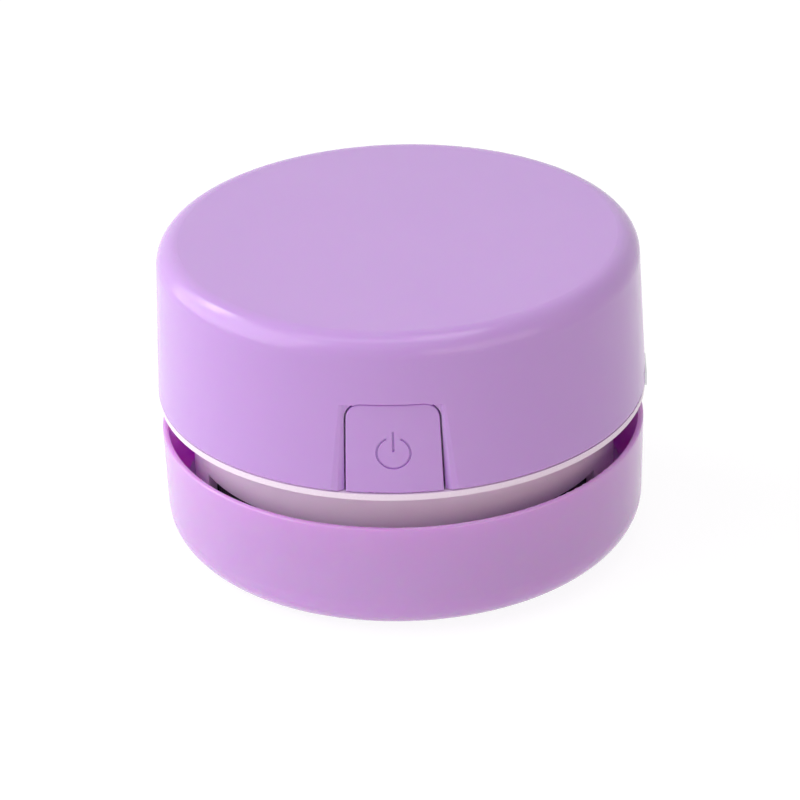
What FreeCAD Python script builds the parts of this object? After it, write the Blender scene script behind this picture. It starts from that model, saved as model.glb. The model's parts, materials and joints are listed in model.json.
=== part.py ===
"""A round desktop mini vacuum cleaner, as a document of separate named pieces in millimetres.

A dust cup with an intake nozzle and a brush ring stands on the desk. A lift-off head sits on it: a white
frame with the filter, a battery, a motor and a circuit board under a round shell with a power button.
The origin is on the round body's axis at desk level, +Z is up, the button faces -Y and the charging
socket faces +X. An azimuth is counted in degrees from the button towards the socket.
"""

import FreeCAD, Part
import os
import Sketcher
from math import cos, pi, radians, sin, sqrt, tan

# Every length is written once here, in millimetres, and every angle in degrees.
SIZES = (
    # Clearances
    ("overrun", 1.0, "how far a cut runs past the face that it starts from"),
    ("running_clearance", 0.3, "between the lifting head and the base"),
    ("fit_clearance", 0.15, "between pieces that are fixed in each other"),
    ("shaft_clearance", 0.05, "round the shaft in its bushes and the screws in their holes"),
    # Leading radius
    ("shell_foot_radius", 42.5, "outside of the shell at its foot, which the other large radii follow"),
    # Dust cup
    ("desk_gap", 1.2, "desk to the underside of the cup, the height of the feet"),
    ("cup_height", 20.6, "underside of the cup to its rim"),
    ("cup_inset", 0.35, "how far the cup's rim stands back from the shell's foot"),
    ("cup_draft", 0.4, "how much the cup's wall narrows down to its underside"),
    ("cup_wall", 1.0, "side wall of the cup"),
    ("cup_floor", 1.6, "floor of the cup"),
    ("cup_corner", 6.5, "rounding between the cup's wall and its underside"),
    ("cup_rim_rounding", 0.4, "rounding of the rim's two edges"),
    ("recess_radius", 21.0, "recess in the underside for nozzle and brush"),
    ("recess_depth", 4.4, "depth of that recess"),
    ("seat_height", 3.6, "floor of the cup to the seat of the head"),
    ("seat_width", 3.0, "seat under the seal"),
    ("locator_height", 3.2, "wall round the seat that centres the head"),
    ("locator_wall", 1.2, "thickness of that wall"),
    ("seal_thickness", 0.8, "flat rubber seal on the seat"),
    ("foot_radius", 3.5, "rubber foot"),
    ("foot_inset", 11.6, "outside of the cup's wall to the circle of the feet"),
    # Intake nozzle and brush
    ("nozzle_radius", 9.0, "bore of the intake tube"),
    ("nozzle_wall", 1.4, "wall of the intake tube"),
    ("nozzle_rise", 4.8, "intake tube above the cup's raised centre"),
    ("nozzle_flange_radius", 19.0, "flange under the cup's raised centre"),
    ("nozzle_flange", 1.2, "thickness of that flange"),
    ("nozzle_screw_circle", 16.4, "circle of the nozzle's screws"),
    ("nozzle_boss_height", 2.8, "screw boss above the cup's raised centre"),
    ("brush_ring_height", 1.8, "holder of the bristles"),
    ("tuft_radius", 0.75, "one tuft of bristles"),
    ("tuft_circle", 12.8, "circle of the tufts"),
    ("tuft_desk_gap", 0.1, "desk to the tips of the bristles"),
    # Small screws
    ("screw_radius", 1.0, "shank of every screw"),
    ("screw_head_radius", 1.9, "head of every screw"),
    ("screw_head_height", 1.2, "height of every head"),
    ("screw_cross", 0.5, "width of the cross in the head"),
    ("screw_cross_depth", 0.6, "depth of the cross"),
    ("boss_wall", 1.2, "plastic round a screw in a boss"),
    ("nozzle_screw_bite", 3.6, "nozzle screw in the cup's boss"),
    ("shell_screw_bite", 8.0, "shell screw in the shell's post"),
    ("clamp_screw_bite", 6.0, "clamp screw in the frame's post"),
    ("board_screw_bite", 4.0, "board screw in the frame's standoff"),
    # White frame
    ("exhaust_gap", 5.58, "open slot between the cup's rim and the white ring"),
    ("ring_inset", 0.15, "how far the white ring stands back from the shell's foot"),
    ("ring_height", 1.06, "visible height of the white ring"),
    ("seam", 0.16, "shadow gap between the white ring and the shell"),
    ("seam_depth", 0.5, "how far that gap goes in"),
    ("slot_depth", 5.45, "outside of the white ring to the skirt that carries the filter"),
    ("skirt_wall", 1.5, "wall of the skirt"),
    ("window_sill", 2.2, "foot of the skirt to the air windows"),
    ("window_drop", 3.4, "rim of the cup down to the top of the windows"),
    ("window_half_angle", 64.0, "half of the angle that a window spans"),
    ("deck_drop", 2.54, "underside of the white ring to the top of the deck"),
    ("deck_thickness", 1.5, "deck between fan chamber and electronics"),
    ("lip_height", 2.2, "lip that centres the shell"),
    ("lip_wall", 1.25, "thickness of that lip"),
    # Filter
    ("filter_flange", 0.8, "flange of the filter cage under the skirt"),
    ("filter_band", 1.6, "closed band at the foot and top of the cage"),
    ("filter_cage_wall", 1.0, "wall of the cage"),
    ("filter_cloth", 0.3, "filter cloth round the cage"),
    ("filter_cloth_gap", 0.2, "between the cloth and the skirt"),
    ("filter_window_half_angle", 19.0, "half of the angle of one opening in the cage"),
    # Shell
    ("shell_height", 27.6, "shell from its foot to the flat top"),
    ("shell_draft", 1.2, "how much the shell's wall narrows up to its top"),
    ("shell_wall", 1.8, "wall of the shell"),
    ("shell_roof", 2.0, "roof of the shell"),
    ("shell_shoulder", 3.8, "rounding between wall and roof"),
    ("shell_foot_rounding", 0.5, "rounding of the foot's outer edge"),
    ("post_radius", 3.0, "screw post inside the shell"),
    ("post_inset", 9.2, "inside of the shell's foot to the circle of the posts"),
    ("front_post_azimuth", 45.0, "azimuth of the front posts"),
    ("back_post_azimuth", 113.0, "azimuth of the back posts"),
    ("post_hole_depth", 9.0, "screw hole in a post"),
    # Power button
    ("button_height", 15.9, "button from the shell's foot up"),
    ("button_foot_width", 16.13, "button at its foot"),
    ("button_top_width", 15.19, "button at its top"),
    ("button_corner", 2.7, "rounding of the button's top corners"),
    ("button_inset", 0.35, "how far the button's face stands back from the shell's round"),
    ("button_edge", 0.25, "rounding round the button's face"),
    ("button_gap", 0.3, "line round the button"),
    ("button_travel", 1.0, "how far the button goes in"),
    ("button_flange", 1.2, "plate behind the shell that keeps the button in"),
    ("button_flange_margin", 1.5, "how far that plate reaches past the button"),
    ("button_flange_lift", 0.3, "foot of the plate above the shell's foot"),
    ("button_wall", 1.3, "wall of the hollow button"),
    ("relief_foot_reach", 2.2, "reach of the relief beside the button, at the shell's foot"),
    ("relief_top_reach", 0.8, "the same at the button's top"),
    ("relief_foot_dip", 0.65, "how much deeper than its flat rim the relief is beside the button's foot"),
    ("relief_top_dip", 0.15, "the same at the button's top"),
    ("symbol_rise", 7.34, "centre of the power symbol above the button's foot"),
    ("symbol_radius", 2.97, "outside of the symbol's ring"),
    ("symbol_line", 0.4, "line of the symbol"),
    ("symbol_bar_foot", 0.2, "foot of the bar above the symbol's centre"),
    ("symbol_bar_top", 3.8, "top of the bar above the symbol's centre"),
    ("symbol_opening", 25.0, "half of the angle of the ring's opening"),
    ("symbol_depth", 0.35, "depth of the symbol's groove"),
    # Motor
    ("motor_radius", 12.0, "outside of the motor can"),
    ("motor_headroom", 5.3, "top of the motor to the shell's roof"),
    ("motor_cap", 2.5, "end cap"),
    ("motor_cap_plug", 1.0, "end cap inside the can"),
    ("can_wall", 1.0, "steel of the can"),
    ("motor_boss_radius", 3.3, "boss round the lower bush"),
    ("motor_boss_drop", 1.0, "boss below the can"),
    ("motor_screw_reach", 6.5, "motor screws from the axis"),
    ("bush_radius", 2.2, "outside of a bush"),
    ("bush_length", 3.0, "length of a bush"),
    ("shaft_radius", 1.0, "motor shaft"),
    ("shaft_stub", 0.5, "shaft above the upper bush"),
    ("magnet_thickness", 1.4, "magnet against the can"),
    ("magnet_overlap", 3.0, "magnets beyond the armature core at both ends"),
    ("magnet_half_angle", 62.0, "half of the angle of one magnet"),
    ("air_gap", 0.5, "between magnets and armature"),
    ("armature_foot", 5.0, "underside of the motor to the armature core"),
    ("bush_gap", 0.8, "commutator to the upper bush"),
    ("armature_shoe", 1.1, "rim of a pole of the core"),
    ("armature_hub", 3.2, "hub of the core"),
    ("winding_overhang", 1.5, "windings beyond the core"),
    ("slot_half_angle", 42.0, "half of the angle of a winding slot"),
    ("slot_mouth_half_angle", 6.0, "half of the angle of a slot's mouth"),
    ("commutator_radius", 2.8, "commutator"),
    ("commutator_length", 4.4, "length of the commutator"),
    ("brush_block", 1.2, "thickness of a carbon brush and its arm"),
    ("brush_width", 2.6, "width of a carbon brush"),
    ("terminal_reach", 5.5, "motor terminal from the axis"),
    ("terminal_thickness", 0.5, "thickness of a terminal"),
    ("terminal_width", 2.0, "width of a terminal"),
    ("terminal_height", 2.4, "terminal above the end cap"),
    ("sleeve_wall", 0.8, "rubber sleeve round the motor"),
    ("sleeve_height", 10.0, "height of the sleeve"),
    ("cradle_wall", 1.4, "ring of the frame round the sleeve"),
    ("cradle_height", 11.0, "height of that ring"),
    # Fan
    ("fan_tip_gap", 3.85, "fan to the inside of the filter cage"),
    ("fan_plate", 1.2, "thickness of that plate"),
    ("fan_gap", 2.4, "deck to the fan's plate"),
    ("fan_floor_gap", 3.4, "blades to the screw bosses in the cup"),
    ("blade_thickness", 1.0, "thickness of a blade"),
    ("blade_curve", 24.0, "radius that a blade is bent to"),
    ("blade_margin", 0.8, "blade tip inside the plate's rim"),
    ("hub_radius", 4.0, "hub of the fan"),
    ("hub_gap", 1.0, "deck to the top of the hub"),
    # Battery
    ("cell_edge_gap", 6.05, "back of the cell to the inside of the skirt"),
    ("cell_end_gap", 1.8, "ends of the cell to the clamp posts"),
    ("cell_lift", 1.7, "deck to the cell"),
    ("cell_gap", 1.0, "motor cradle to the cell"),
    ("saddle_rib", 1.6, "thickness of a saddle rib"),
    ("tray_thickness", 1.2, "strip that joins saddles and clamp posts"),
    ("tab_thickness", 0.25, "nickel tab on the end of the cell"),
    ("clamp_inset", 3.7, "inside of the skirt to the clamp posts"),
    ("clamp_half_width", 3.0, "half width of the clamp bar"),
    ("clamp_thickness", 1.2, "thickness of the clamp bar"),
    ("clamp_pad", 0.5, "foam pad between cell and clamp"),
    # Circuit board
    ("board_lift", 5.7, "deck to the underside of the board"),
    ("board_thickness", 1.2, "circuit board"),
    ("board_motor_gap", 1.65, "motor cradle to the inner edge of the board"),
    ("board_edge_gap", 2.1, "inside of the shell's foot to the outer edge of the board"),
    ("board_start_azimuth", -20.0, "azimuth of the board's left end"),
    ("board_end_azimuth", 104.0, "azimuth of the board's right end"),
    ("board_front_gap", 0.74, "plate of the pressed button to the front edge of the board"),
    ("standoff_inset", 5.6, "outer edge of the board to the two outer standoffs"),
    ("front_standoff_azimuth", 26.0, "azimuth of the front outer standoff"),
    ("side_standoff_azimuth", 72.0, "azimuth of the side outer standoff"),
    ("switch_width", 8.0, "switch housing"),
    ("switch_depth", 8.0, "switch housing from front to back"),
    ("switch_height", 7.4, "switch housing above the board"),
    ("switch_setback", 0.5, "front edge of the board to the switch"),
    ("plunger_width", 2.6, "square plunger of the switch"),
    ("plunger_rise", 4.2, "plunger's centre above the board"),
    ("plunger_reach", 2.0, "plunger inside the housing at rest"),
    # Charging socket
    ("socket_width", 7.5, "metal socket body"),
    ("socket_height", 2.4, "height of the socket body"),
    ("socket_length", 5.2, "socket body behind its lip"),
    ("socket_metal", 0.3, "sheet metal of the socket"),
    ("socket_bevel", 0.8, "slanted lower corners of the socket"),
    ("socket_lip", 0.4, "length of the flared lip"),
    ("socket_flare", 0.15, "how far the lip flares out"),
    ("socket_stand_out", 0.1, "lip outside the shell"),
    ("socket_notch_gap", 0.35, "between the lip and the shell's notch"),
    ("tongue_width", 4.6, "plastic tongue in the socket"),
    ("tongue_thickness", 0.6, "thickness of the tongue"),
    ("tongue_setback", 1.0, "mouth to the tongue's tip"),
    # Leads
    ("lead_radius", 0.55, "insulated lead"),
)

# Counts of pieces that repeat round the axis.
FOOT_COUNT = 4
TUFT_COUNT = 26
NOZZLE_SCREW_COUNT = 3
WINDOW_COUNT = 2
FILTER_WINDOW_COUNT = 8
POLE_COUNT = 3
MAGNET_COUNT = 2
BLADE_COUNT = 9

FULL_TURN = 360.0
MATCH = 0.001
LEAD_ARC_SHARE = 0.45


class Size:
    """A number together with the spreadsheet formula that gives it."""

    def __init__(self, number, formula):
        self.number = number
        self.formula = formula

    def __add__(self, other):
        other = as_size(other)
        return Size(self.number + other.number, f"({self.formula} + {other.formula})")

    def __sub__(self, other):
        other = as_size(other)
        return Size(self.number - other.number, f"({self.formula} - {other.formula})")

    def __mul__(self, other):
        other = as_size(other)
        return Size(self.number * other.number, f"({self.formula} * {other.formula})")

    def __truediv__(self, other):
        other = as_size(other)
        return Size(self.number / other.number, f"({self.formula} / {other.formula})")

    def __neg__(self):
        return Size(-self.number, f"(0 - {self.formula})")


def as_size(item):
    """A plain number as a Size, so that both can be used alike."""
    return item if isinstance(item, Size) else Size(float(item), repr(float(item)))


def root(item):
    """The square root of a Size."""
    return Size(sqrt(item.number), f"sqrt({item.formula})")


def around(radius, azimuth):
    """The plan position x, y at a radius and an azimuth."""
    angle = as_size(azimuth)
    across = Size(sin(radians(angle.number)), f"sin({angle.formula} * 1deg)")
    ahead = Size(cos(radians(angle.number)), f"cos({angle.formula} * 1deg)")
    return radius * across, -(radius * ahead)


def make_sheet(doc):
    """Writes the driving dimensions into the spreadsheet and returns them as named Sizes."""
    sheet = doc.addObject("Spreadsheet::Sheet", "Sizes")
    named = {}
    for row, (alias, number, meaning) in enumerate(SIZES, 1):
        sheet.set(f"A{row}", alias)
        sheet.set(f"B{row}", str(number))
        sheet.set(f"C{row}", meaning)
        sheet.setAlias(f"B{row}", alias)
        named[alias] = Size(number, f"Sizes.{alias}")
    doc.recompute()
    return named


doc = FreeCAD.newDocument("mini_vacuum")
named_sizes = make_sheet(doc)
pieces = []
cuts = []


def size(alias):
    """One driving dimension by its name."""
    return named_sizes[alias]


def bind(item, prop, value):
    """Ties a property to a formula of the spreadsheet."""
    value = as_size(value)
    item.setExpression(prop, value.formula)


def keep(item):
    """Marks an object as a finished piece, written to a file under its label."""
    pieces.append(item)
    return item


# Sketches

def new_body(label):
    """An empty body for one piece, or for a group of like pieces."""
    body = doc.addObject("PartDesign::Body", label)
    body.Label = label
    body.AllowCompound = True
    return body


def origin_feature(body, role):
    """A base plane or axis of the body itself."""
    return next(item for item in body.Origin.OriginFeatures if item.Role == role)


def new_sketch(body, name, plane, offset=0):
    """A sketch on a base plane of the body, moved along the plane's normal by the offset."""
    sketch = body.newObject("Sketcher::SketchObject", f"{body.Name}_{name}")
    sketch.AttachmentSupport = (origin_feature(body, plane), [""])
    sketch.MapMode = "FlatFace"
    bind(sketch, "AttachmentOffset.Base.z", offset)
    return sketch


def constrain(sketch, kind, *where, value=None, unit=""):
    """Adds one constraint, tied to a formula where it has a value."""
    if value is None:
        return sketch.addConstraint(Sketcher.Constraint(kind, *where))
    number = radians(value.number) if unit else value.number
    index = sketch.addConstraint(Sketcher.Constraint(kind, *where, number))
    formula = f"({value.formula}) * {unit}" if unit else value.formula
    sketch.setExpression(f"Constraints[{index}]", formula)
    return index


def pin_point(sketch, curve, end, place):
    """Holds a point of the sketch at a place given by two Sizes."""
    for kind, value, axis in (("DistanceX", place[0], -2), ("DistanceY", place[1], -1)):
        value = as_size(value)
        if value.number == 0:
            constrain(sketch, "PointOnObject", curve, end, axis)
        else:
            constrain(sketch, kind, -1, 1, curve, end, value=value)


def flat(place):
    """A place of two Sizes as a point for the sketcher."""
    first, second = (as_size(item).number for item in place)
    return FreeCAD.Vector(first, second, 0)


def outline(sketch, places, corners=()):
    """A closed outline of straight lines through the places, with some corners rounded.

    corners holds pairs of a place's index and a radius. The corner points stay held where they are.
    """
    count = len(places)
    first = sketch.GeometryCount
    for index in range(count):
        line = Part.LineSegment(flat(places[index]), flat(places[(index + 1) % count]))
        sketch.addGeometry(line, False)
    for index in range(count):
        constrain(sketch, "Coincident", first + index, 2, first + (index + 1) % count, 1)
    for index, place in enumerate(places):
        pin_point(sketch, first + index, 1, place)
    for index, radius in corners:
        before = (index - 1) % count
        corner = flat(places[index])
        towards_before = corner + (flat(places[before]) - corner) * 0.5
        towards_after = corner + (flat(places[(index + 1) % count]) - corner) * 0.5
        arc = sketch.GeometryCount
        sketch.fillet(first + before, first + index, towards_before, towards_after, radius.number, True, True)
        constrain(sketch, "Radius", arc, value=radius)


def circles(sketch, centres, radius):
    """Full circles of one radius at the given centres."""
    for centre in centres:
        index = sketch.GeometryCount
        sketch.addGeometry(Part.Circle(flat(centre), FreeCAD.Vector(0, 0, 1), radius.number), False)
        constrain(sketch, "Radius", index, value=radius)
        pin_point(sketch, index, 3, centre)


def sector(sketch, inner, outer, start, end, centre=(0, 0)):
    """A closed piece of a ring between two angles, counted in degrees from the sketch's first axis."""
    first = sketch.GeometryCount
    start, end = as_size(start), as_size(end)
    middle = flat(centre)
    axis = FreeCAD.Vector(0, 0, 1)
    angles = (radians(start.number), radians(end.number))
    for radius in (outer, inner):
        sketch.addGeometry(Part.ArcOfCircle(Part.Circle(middle, axis, radius.number), *angles), False)
    for angle in angles:
        ray = FreeCAD.Vector(cos(angle), sin(angle), 0)
        sketch.addGeometry(Part.LineSegment(middle + ray * inner.number, middle + ray * outer.number), False)
    outer_arc, inner_arc, start_line, end_line = range(first, first + 4)
    pin_point(sketch, outer_arc, 3, centre)
    constrain(sketch, "Coincident", inner_arc, 3, outer_arc, 3)
    for line, end_number in ((start_line, 1), (end_line, 2)):
        constrain(sketch, "Coincident", line, 1, inner_arc, end_number)
        constrain(sketch, "Coincident", line, 2, outer_arc, end_number)
        constrain(sketch, "PointOnObject", outer_arc, 3, line)
    constrain(sketch, "Radius", outer_arc, value=outer)
    constrain(sketch, "Radius", inner_arc, value=inner)
    constrain(sketch, "Angle", start_line, value=start, unit="1deg")
    constrain(sketch, "Angle", end_line, value=end, unit="1deg")


# Features

def revolve(body, name, places, corners=()):
    """Turns an outline of (radius, height) places into a round solid about the axis."""
    sketch = new_sketch(body, f"{name}_section", "XZ_Plane")
    outline(sketch, places, corners)
    feature = body.newObject("PartDesign::Revolution", f"{body.Name}_{name}")
    feature.Profile = sketch
    feature.ReferenceAxis = (sketch, ["V_Axis"])
    feature.Angle = FULL_TURN
    return feature


def turn_away(body, name, places):
    """Cuts what an outline of (radius, height) places sweeps about the axis."""
    sketch = new_sketch(body, f"{name}_section", "XZ_Plane")
    outline(sketch, places)
    before = body.Tip
    feature = body.newObject("PartDesign::Groove", f"{body.Name}_{name}")
    feature.Profile = sketch
    feature.ReferenceAxis = (sketch, ["V_Axis"])
    feature.Angle = FULL_TURN
    cuts.append((before, feature))
    return feature


def pad(body, sketch, length, both_ways=False):
    """Builds a sketch up along its normal, or evenly to both sides."""
    feature = body.newObject("PartDesign::Pad", f"{sketch.Name}_pad")
    feature.Profile = sketch
    feature.Midplane = both_ways
    bind(feature, "Length", length)
    return feature


def pocket(body, sketch, length, along_normal=False, both_ways=False):
    """Cuts a sketch into the body against its normal, along it, or evenly to both sides."""
    before = body.Tip
    feature = body.newObject("PartDesign::Pocket", f"{sketch.Name}_pocket")
    feature.Profile = sketch
    feature.Midplane = both_ways
    feature.Reversed = along_normal
    bind(feature, "Length", length)
    cuts.append((before, feature))
    return feature


def repeat(body, features, count):
    """Repeats features evenly about the axis."""
    pattern = body.newObject("PartDesign::PolarPattern", f"{body.Name}_{features[0].Name}_pattern")
    pattern.Originals = features
    pattern.Axis = (origin_feature(body, "Z_Axis"), [""])
    pattern.Angle = FULL_TURN
    pattern.Occurrences = count
    body.Tip = pattern
    return pattern


def discs(body, name, centres, radius, bottom, height):
    """Upright round bars at the centres."""
    sketch = new_sketch(body, name, "XY_Plane", bottom)
    circles(sketch, centres, radius)
    return pad(body, sketch, height)


def holes(body, name, centres, radius, bottom, height):
    """Upright round holes at the centres, cut upwards from the bottom."""
    sketch = new_sketch(body, name, "XY_Plane", bottom)
    circles(sketch, centres, radius)
    return pocket(body, sketch, height, along_normal=True)


def rectangle(low, high):
    """The four corners of a rectangle from its lowest and highest corner."""
    return [low, (high[0], low[1]), high, (low[0], high[1])]


def block(body, name, low, high):
    """A rectangular block between two corners."""
    sketch = new_sketch(body, name, "XY_Plane", low[2])
    outline(sketch, rectangle(low[:2], high[:2]))
    return pad(body, sketch, as_size(high[2]) - low[2])


def block_cut(body, name, low, high):
    """A rectangular cut between two corners."""
    sketch = new_sketch(body, name, "XY_Plane", low[2])
    outline(sketch, rectangle(low[:2], high[:2]))
    return pocket(body, sketch, as_size(high[2]) - low[2], along_normal=True)


def round_edges(body, name, circles_wanted, radius):
    """Rounds the full circles about the axis that lie at the wanted (radius, height) places."""
    doc.recompute()
    base = body.Tip
    names = []
    for number, edge in enumerate(base.Shape.Edges, 1):
        curve = edge.Curve
        if not isinstance(curve, Part.Circle):
            continue
        for wanted_radius, wanted_height in circles_wanted:
            apart = abs(curve.Radius - wanted_radius.number) + abs(curve.Center.z - wanted_height.number)
            if apart < MATCH:
                names.append(f"Edge{number}")
    feature = body.newObject("PartDesign::Fillet", f"{body.Name}_{name}")
    feature.Base = (base, names)
    bind(feature, "Radius", radius)
    return feature


def round_front(body, name, radius):
    """Rounds every edge of the body's foremost face."""
    doc.recompute()
    base = body.Tip
    front = min(base.Shape.Faces, key=lambda face: face.CenterOfMass.y)
    names = []
    for number, edge in enumerate(base.Shape.Edges, 1):
        if any(edge.isSame(other) for other in front.Edges):
            names.append(f"Edge{number}")
    feature = body.newObject("PartDesign::Fillet", f"{body.Name}_{name}")
    feature.Base = (base, names)
    bind(feature, "Radius", radius)
    return feature


def screws(label, centres, seat, bite, head_up):
    """Pan-head screws whose heads sit on, or hang under, a face at the seat's height.

    bite is how far the shanks reach from the seat, down from a head on top or up from a head below.
    """
    body = new_body(label)
    head = size("screw_head_height")
    cross = size("screw_cross_depth")
    half_line = size("screw_cross") / 2
    half_length = size("screw_head_radius") * CROSS_SHARE
    shank_foot = seat - bite if head_up else seat
    head_foot = seat if head_up else seat - head
    cross_foot = seat + head - cross if head_up else seat - head
    discs(body, "shanks", centres, size("screw_radius"), shank_foot, bite)
    discs(body, "heads", centres, size("screw_head_radius"), head_foot, head)
    for name, half_x, half_y in (("slot", half_length, half_line), ("cross", half_line, half_length)):
        sketch = new_sketch(body, name, "XY_Plane", cross_foot)
        for centre in centres:
            low = (centre[0] - half_x, centre[1] - half_y)
            high = (centre[0] + half_x, centre[1] + half_y)
            outline(sketch, rectangle(low, high))
        pocket(body, sketch, cross, along_normal=True)
    return keep(body)


# Share of a screw head's radius that its cross reaches.
CROSS_SHARE = 0.65

# Shares of the cell's half length: where a saddle rib stands, and how far the pad reaches
SADDLE_SHARE = 0.6
CLAMP_PAD_SHARE = 0.56
# Shares of the cell's radius: a saddle's half width and its height on the cell, the clamp's offset
# towards the motor, a tab's reach towards the motor and its half width
SADDLE_WIDTH_SHARE = 0.885
SADDLE_HEIGHT_SHARE = 0.585
CLAMP_OFFSET_SHARE = 0.336
TAB_REACH_SHARE = 0.757
TAB_WIDTH_SHARE = 0.286


def shell_radius(height):
    """Outside of the shell's straight wall at a height."""
    return size("shell_foot_radius") - SHELL_SLOPE * (height - SHELL_FOOT)


# Radii that several pieces share
SHELL_TOP_RADIUS = size("shell_foot_radius") - size("shell_draft")
SHELL_INSIDE = size("shell_foot_radius") - size("shell_wall")
SHELL_SLOPE = size("shell_draft") / size("shell_height")
LIP_OUTSIDE = SHELL_INSIDE - size("running_clearance")
LIP_INSIDE = LIP_OUTSIDE - size("lip_wall")
RING_RADIUS = size("shell_foot_radius") - size("ring_inset")
SKIRT_RADIUS = RING_RADIUS - size("slot_depth")
SKIRT_INSIDE = SKIRT_RADIUS - size("skirt_wall")
CLOTH_INSIDE = SKIRT_INSIDE - size("filter_cloth_gap") - size("filter_cloth")
CAGE_OUTSIDE = CLOTH_INSIDE - size("shaft_clearance")
CAGE_INSIDE = CAGE_OUTSIDE - size("filter_cage_wall")
LOCATOR_RADIUS = SKIRT_RADIUS + size("running_clearance")
SEAT_RADIUS = LOCATOR_RADIUS - size("seat_width")
CUP_RIM_RADIUS = size("shell_foot_radius") - size("cup_inset")
CUP_FOOT_RADIUS = CUP_RIM_RADIUS - size("cup_draft")
CENTRE_WALL = size("recess_radius") + size("cup_floor")
NOZZLE_OUTSIDE = size("nozzle_radius") + size("nozzle_wall")
SLEEVE_OUTSIDE = size("motor_radius") + size("sleeve_wall")
CRADLE_INSIDE = SLEEVE_OUTSIDE + size("fit_clearance")
CRADLE_OUTSIDE = CRADLE_INSIDE + size("cradle_wall")
BUSH_SEAT = size("bush_radius") + size("shaft_clearance")
CORE_RADIUS = (size("motor_radius") - size("can_wall") - size("shaft_clearance")
               - size("magnet_thickness") - size("air_gap"))
FAN_RADIUS = CAGE_INSIDE - size("fan_tip_gap")
SCREW_HOLE = size("screw_radius") + size("shaft_clearance")
BOSS_RADIUS = size("screw_radius") + size("boss_wall")
CELL_RADIUS = (SKIRT_INSIDE - size("cell_edge_gap") - CRADLE_OUTSIDE - size("cell_gap")) / 2
BOARD_INNER_RADIUS = CRADLE_OUTSIDE + size("board_motor_gap")
BOARD_OUTER_RADIUS = SHELL_INSIDE - size("board_edge_gap")

# Heights that several pieces share
CUP_FOOT = size("desk_gap")
FLOOR_TOP = CUP_FOOT + size("cup_floor")
CUP_RIM = CUP_FOOT + size("cup_height")
CENTRE_UNDERSIDE = CUP_FOOT + size("recess_depth")
CENTRE_TOP = CENTRE_UNDERSIDE + size("cup_floor")
NOZZLE_SHELF = CENTRE_UNDERSIDE - size("nozzle_flange")
NOZZLE_TOP = CENTRE_TOP + size("nozzle_rise")
BRUSH_FOOT = NOZZLE_SHELF - size("brush_ring_height")
SEAT = FLOOR_TOP + size("seat_height")
FILTER_FOOT = SEAT + size("seal_thickness")
SKIRT_FOOT = FILTER_FOOT + size("filter_flange")
RING_FOOT = CUP_RIM + size("exhaust_gap")
RING_TOP = RING_FOOT + size("ring_height")
SHELL_FOOT = RING_TOP + size("seam")
SHELL_TOP = SHELL_FOOT + size("shell_height")
ROOF = SHELL_TOP - size("shell_roof")
DECK_TOP = RING_FOOT - size("deck_drop")
DECK_UNDERSIDE = DECK_TOP - size("deck_thickness")
LIP_TOP = SHELL_FOOT + size("lip_height")
MOTOR_TOP = ROOF - size("motor_headroom")
CAN_TOP = MOTOR_TOP - size("motor_cap")
CORE_FOOT = DECK_TOP + size("armature_foot")
COMMUTATOR_FOOT = MOTOR_TOP - size("bush_length") - size("bush_gap") - size("commutator_length")
CORE_TOP = COMMUTATOR_FOOT - size("running_clearance") - size("winding_overhang")
FAN_TOP = DECK_UNDERSIDE - size("fan_gap")
BLADE_TOP = FAN_TOP - size("fan_plate")
BLADE_FOOT = CENTRE_TOP + size("nozzle_boss_height") + size("fan_floor_gap")
CELL_HEIGHT = DECK_TOP + size("cell_lift") + CELL_RADIUS
CLAMP_FOOT = CELL_HEIGHT + CELL_RADIUS + size("clamp_pad")
CLAMP_TOP = CLAMP_FOOT + size("clamp_thickness")
BOARD_FOOT = DECK_TOP + size("board_lift")
BOARD_TOP = BOARD_FOOT + size("board_thickness")
BUTTON_TOP = SHELL_FOOT + size("button_height")
SOCKET_FOOT = BOARD_FOOT - size("socket_height")

# Distances from the middle that several pieces share
PLATE_TOP = BUTTON_TOP + size("button_flange_margin")
PLATE_HALF = size("button_top_width") / 2 + size("button_flange_margin")
SHELL_INSIDE_AT_PLATE = shell_radius(PLATE_TOP) - size("shell_wall")
BUTTON_PLATE_FACE = (root(SHELL_INSIDE_AT_PLATE * SHELL_INSIDE_AT_PLATE - PLATE_HALF * PLATE_HALF)
                     - size("running_clearance"))
BUTTON_PLATE_BACK = BUTTON_PLATE_FACE - size("button_flange")
BUTTON_FOOT_RADIUS = size("shell_foot_radius") - size("button_inset")
BUTTON_TOP_RADIUS = shell_radius(BUTTON_TOP) - size("button_inset")
BUTTON_HALF_TOP = size("button_top_width") / 2
BUTTON_HOLLOW_FACE = (root(BUTTON_TOP_RADIUS * BUTTON_TOP_RADIUS - BUTTON_HALF_TOP * BUTTON_HALF_TOP)
                      - size("button_wall"))
BOARD_FRONT = BUTTON_PLATE_BACK - size("button_travel") - size("board_front_gap")
SWITCH_FRONT = BOARD_FRONT - size("switch_setback")
SWITCH_BACK = SWITCH_FRONT - size("switch_depth")
SOCKET_MOUTH = size("shell_foot_radius") + size("socket_stand_out")
SOCKET_BACK = SOCKET_MOUTH - size("socket_lip") - size("socket_length")
CELL_BACK = CRADLE_OUTSIDE + size("cell_gap") + CELL_RADIUS
CLAMP_BACK = CELL_BACK - CELL_RADIUS * CLAMP_OFFSET_SHARE
CLAMP_REACH = root(SKIRT_INSIDE * SKIRT_INSIDE - CLAMP_BACK * CLAMP_BACK) - size("clamp_inset")
CELL_HALF = CLAMP_REACH - BOSS_RADIUS - size("cell_end_gap")

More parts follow.
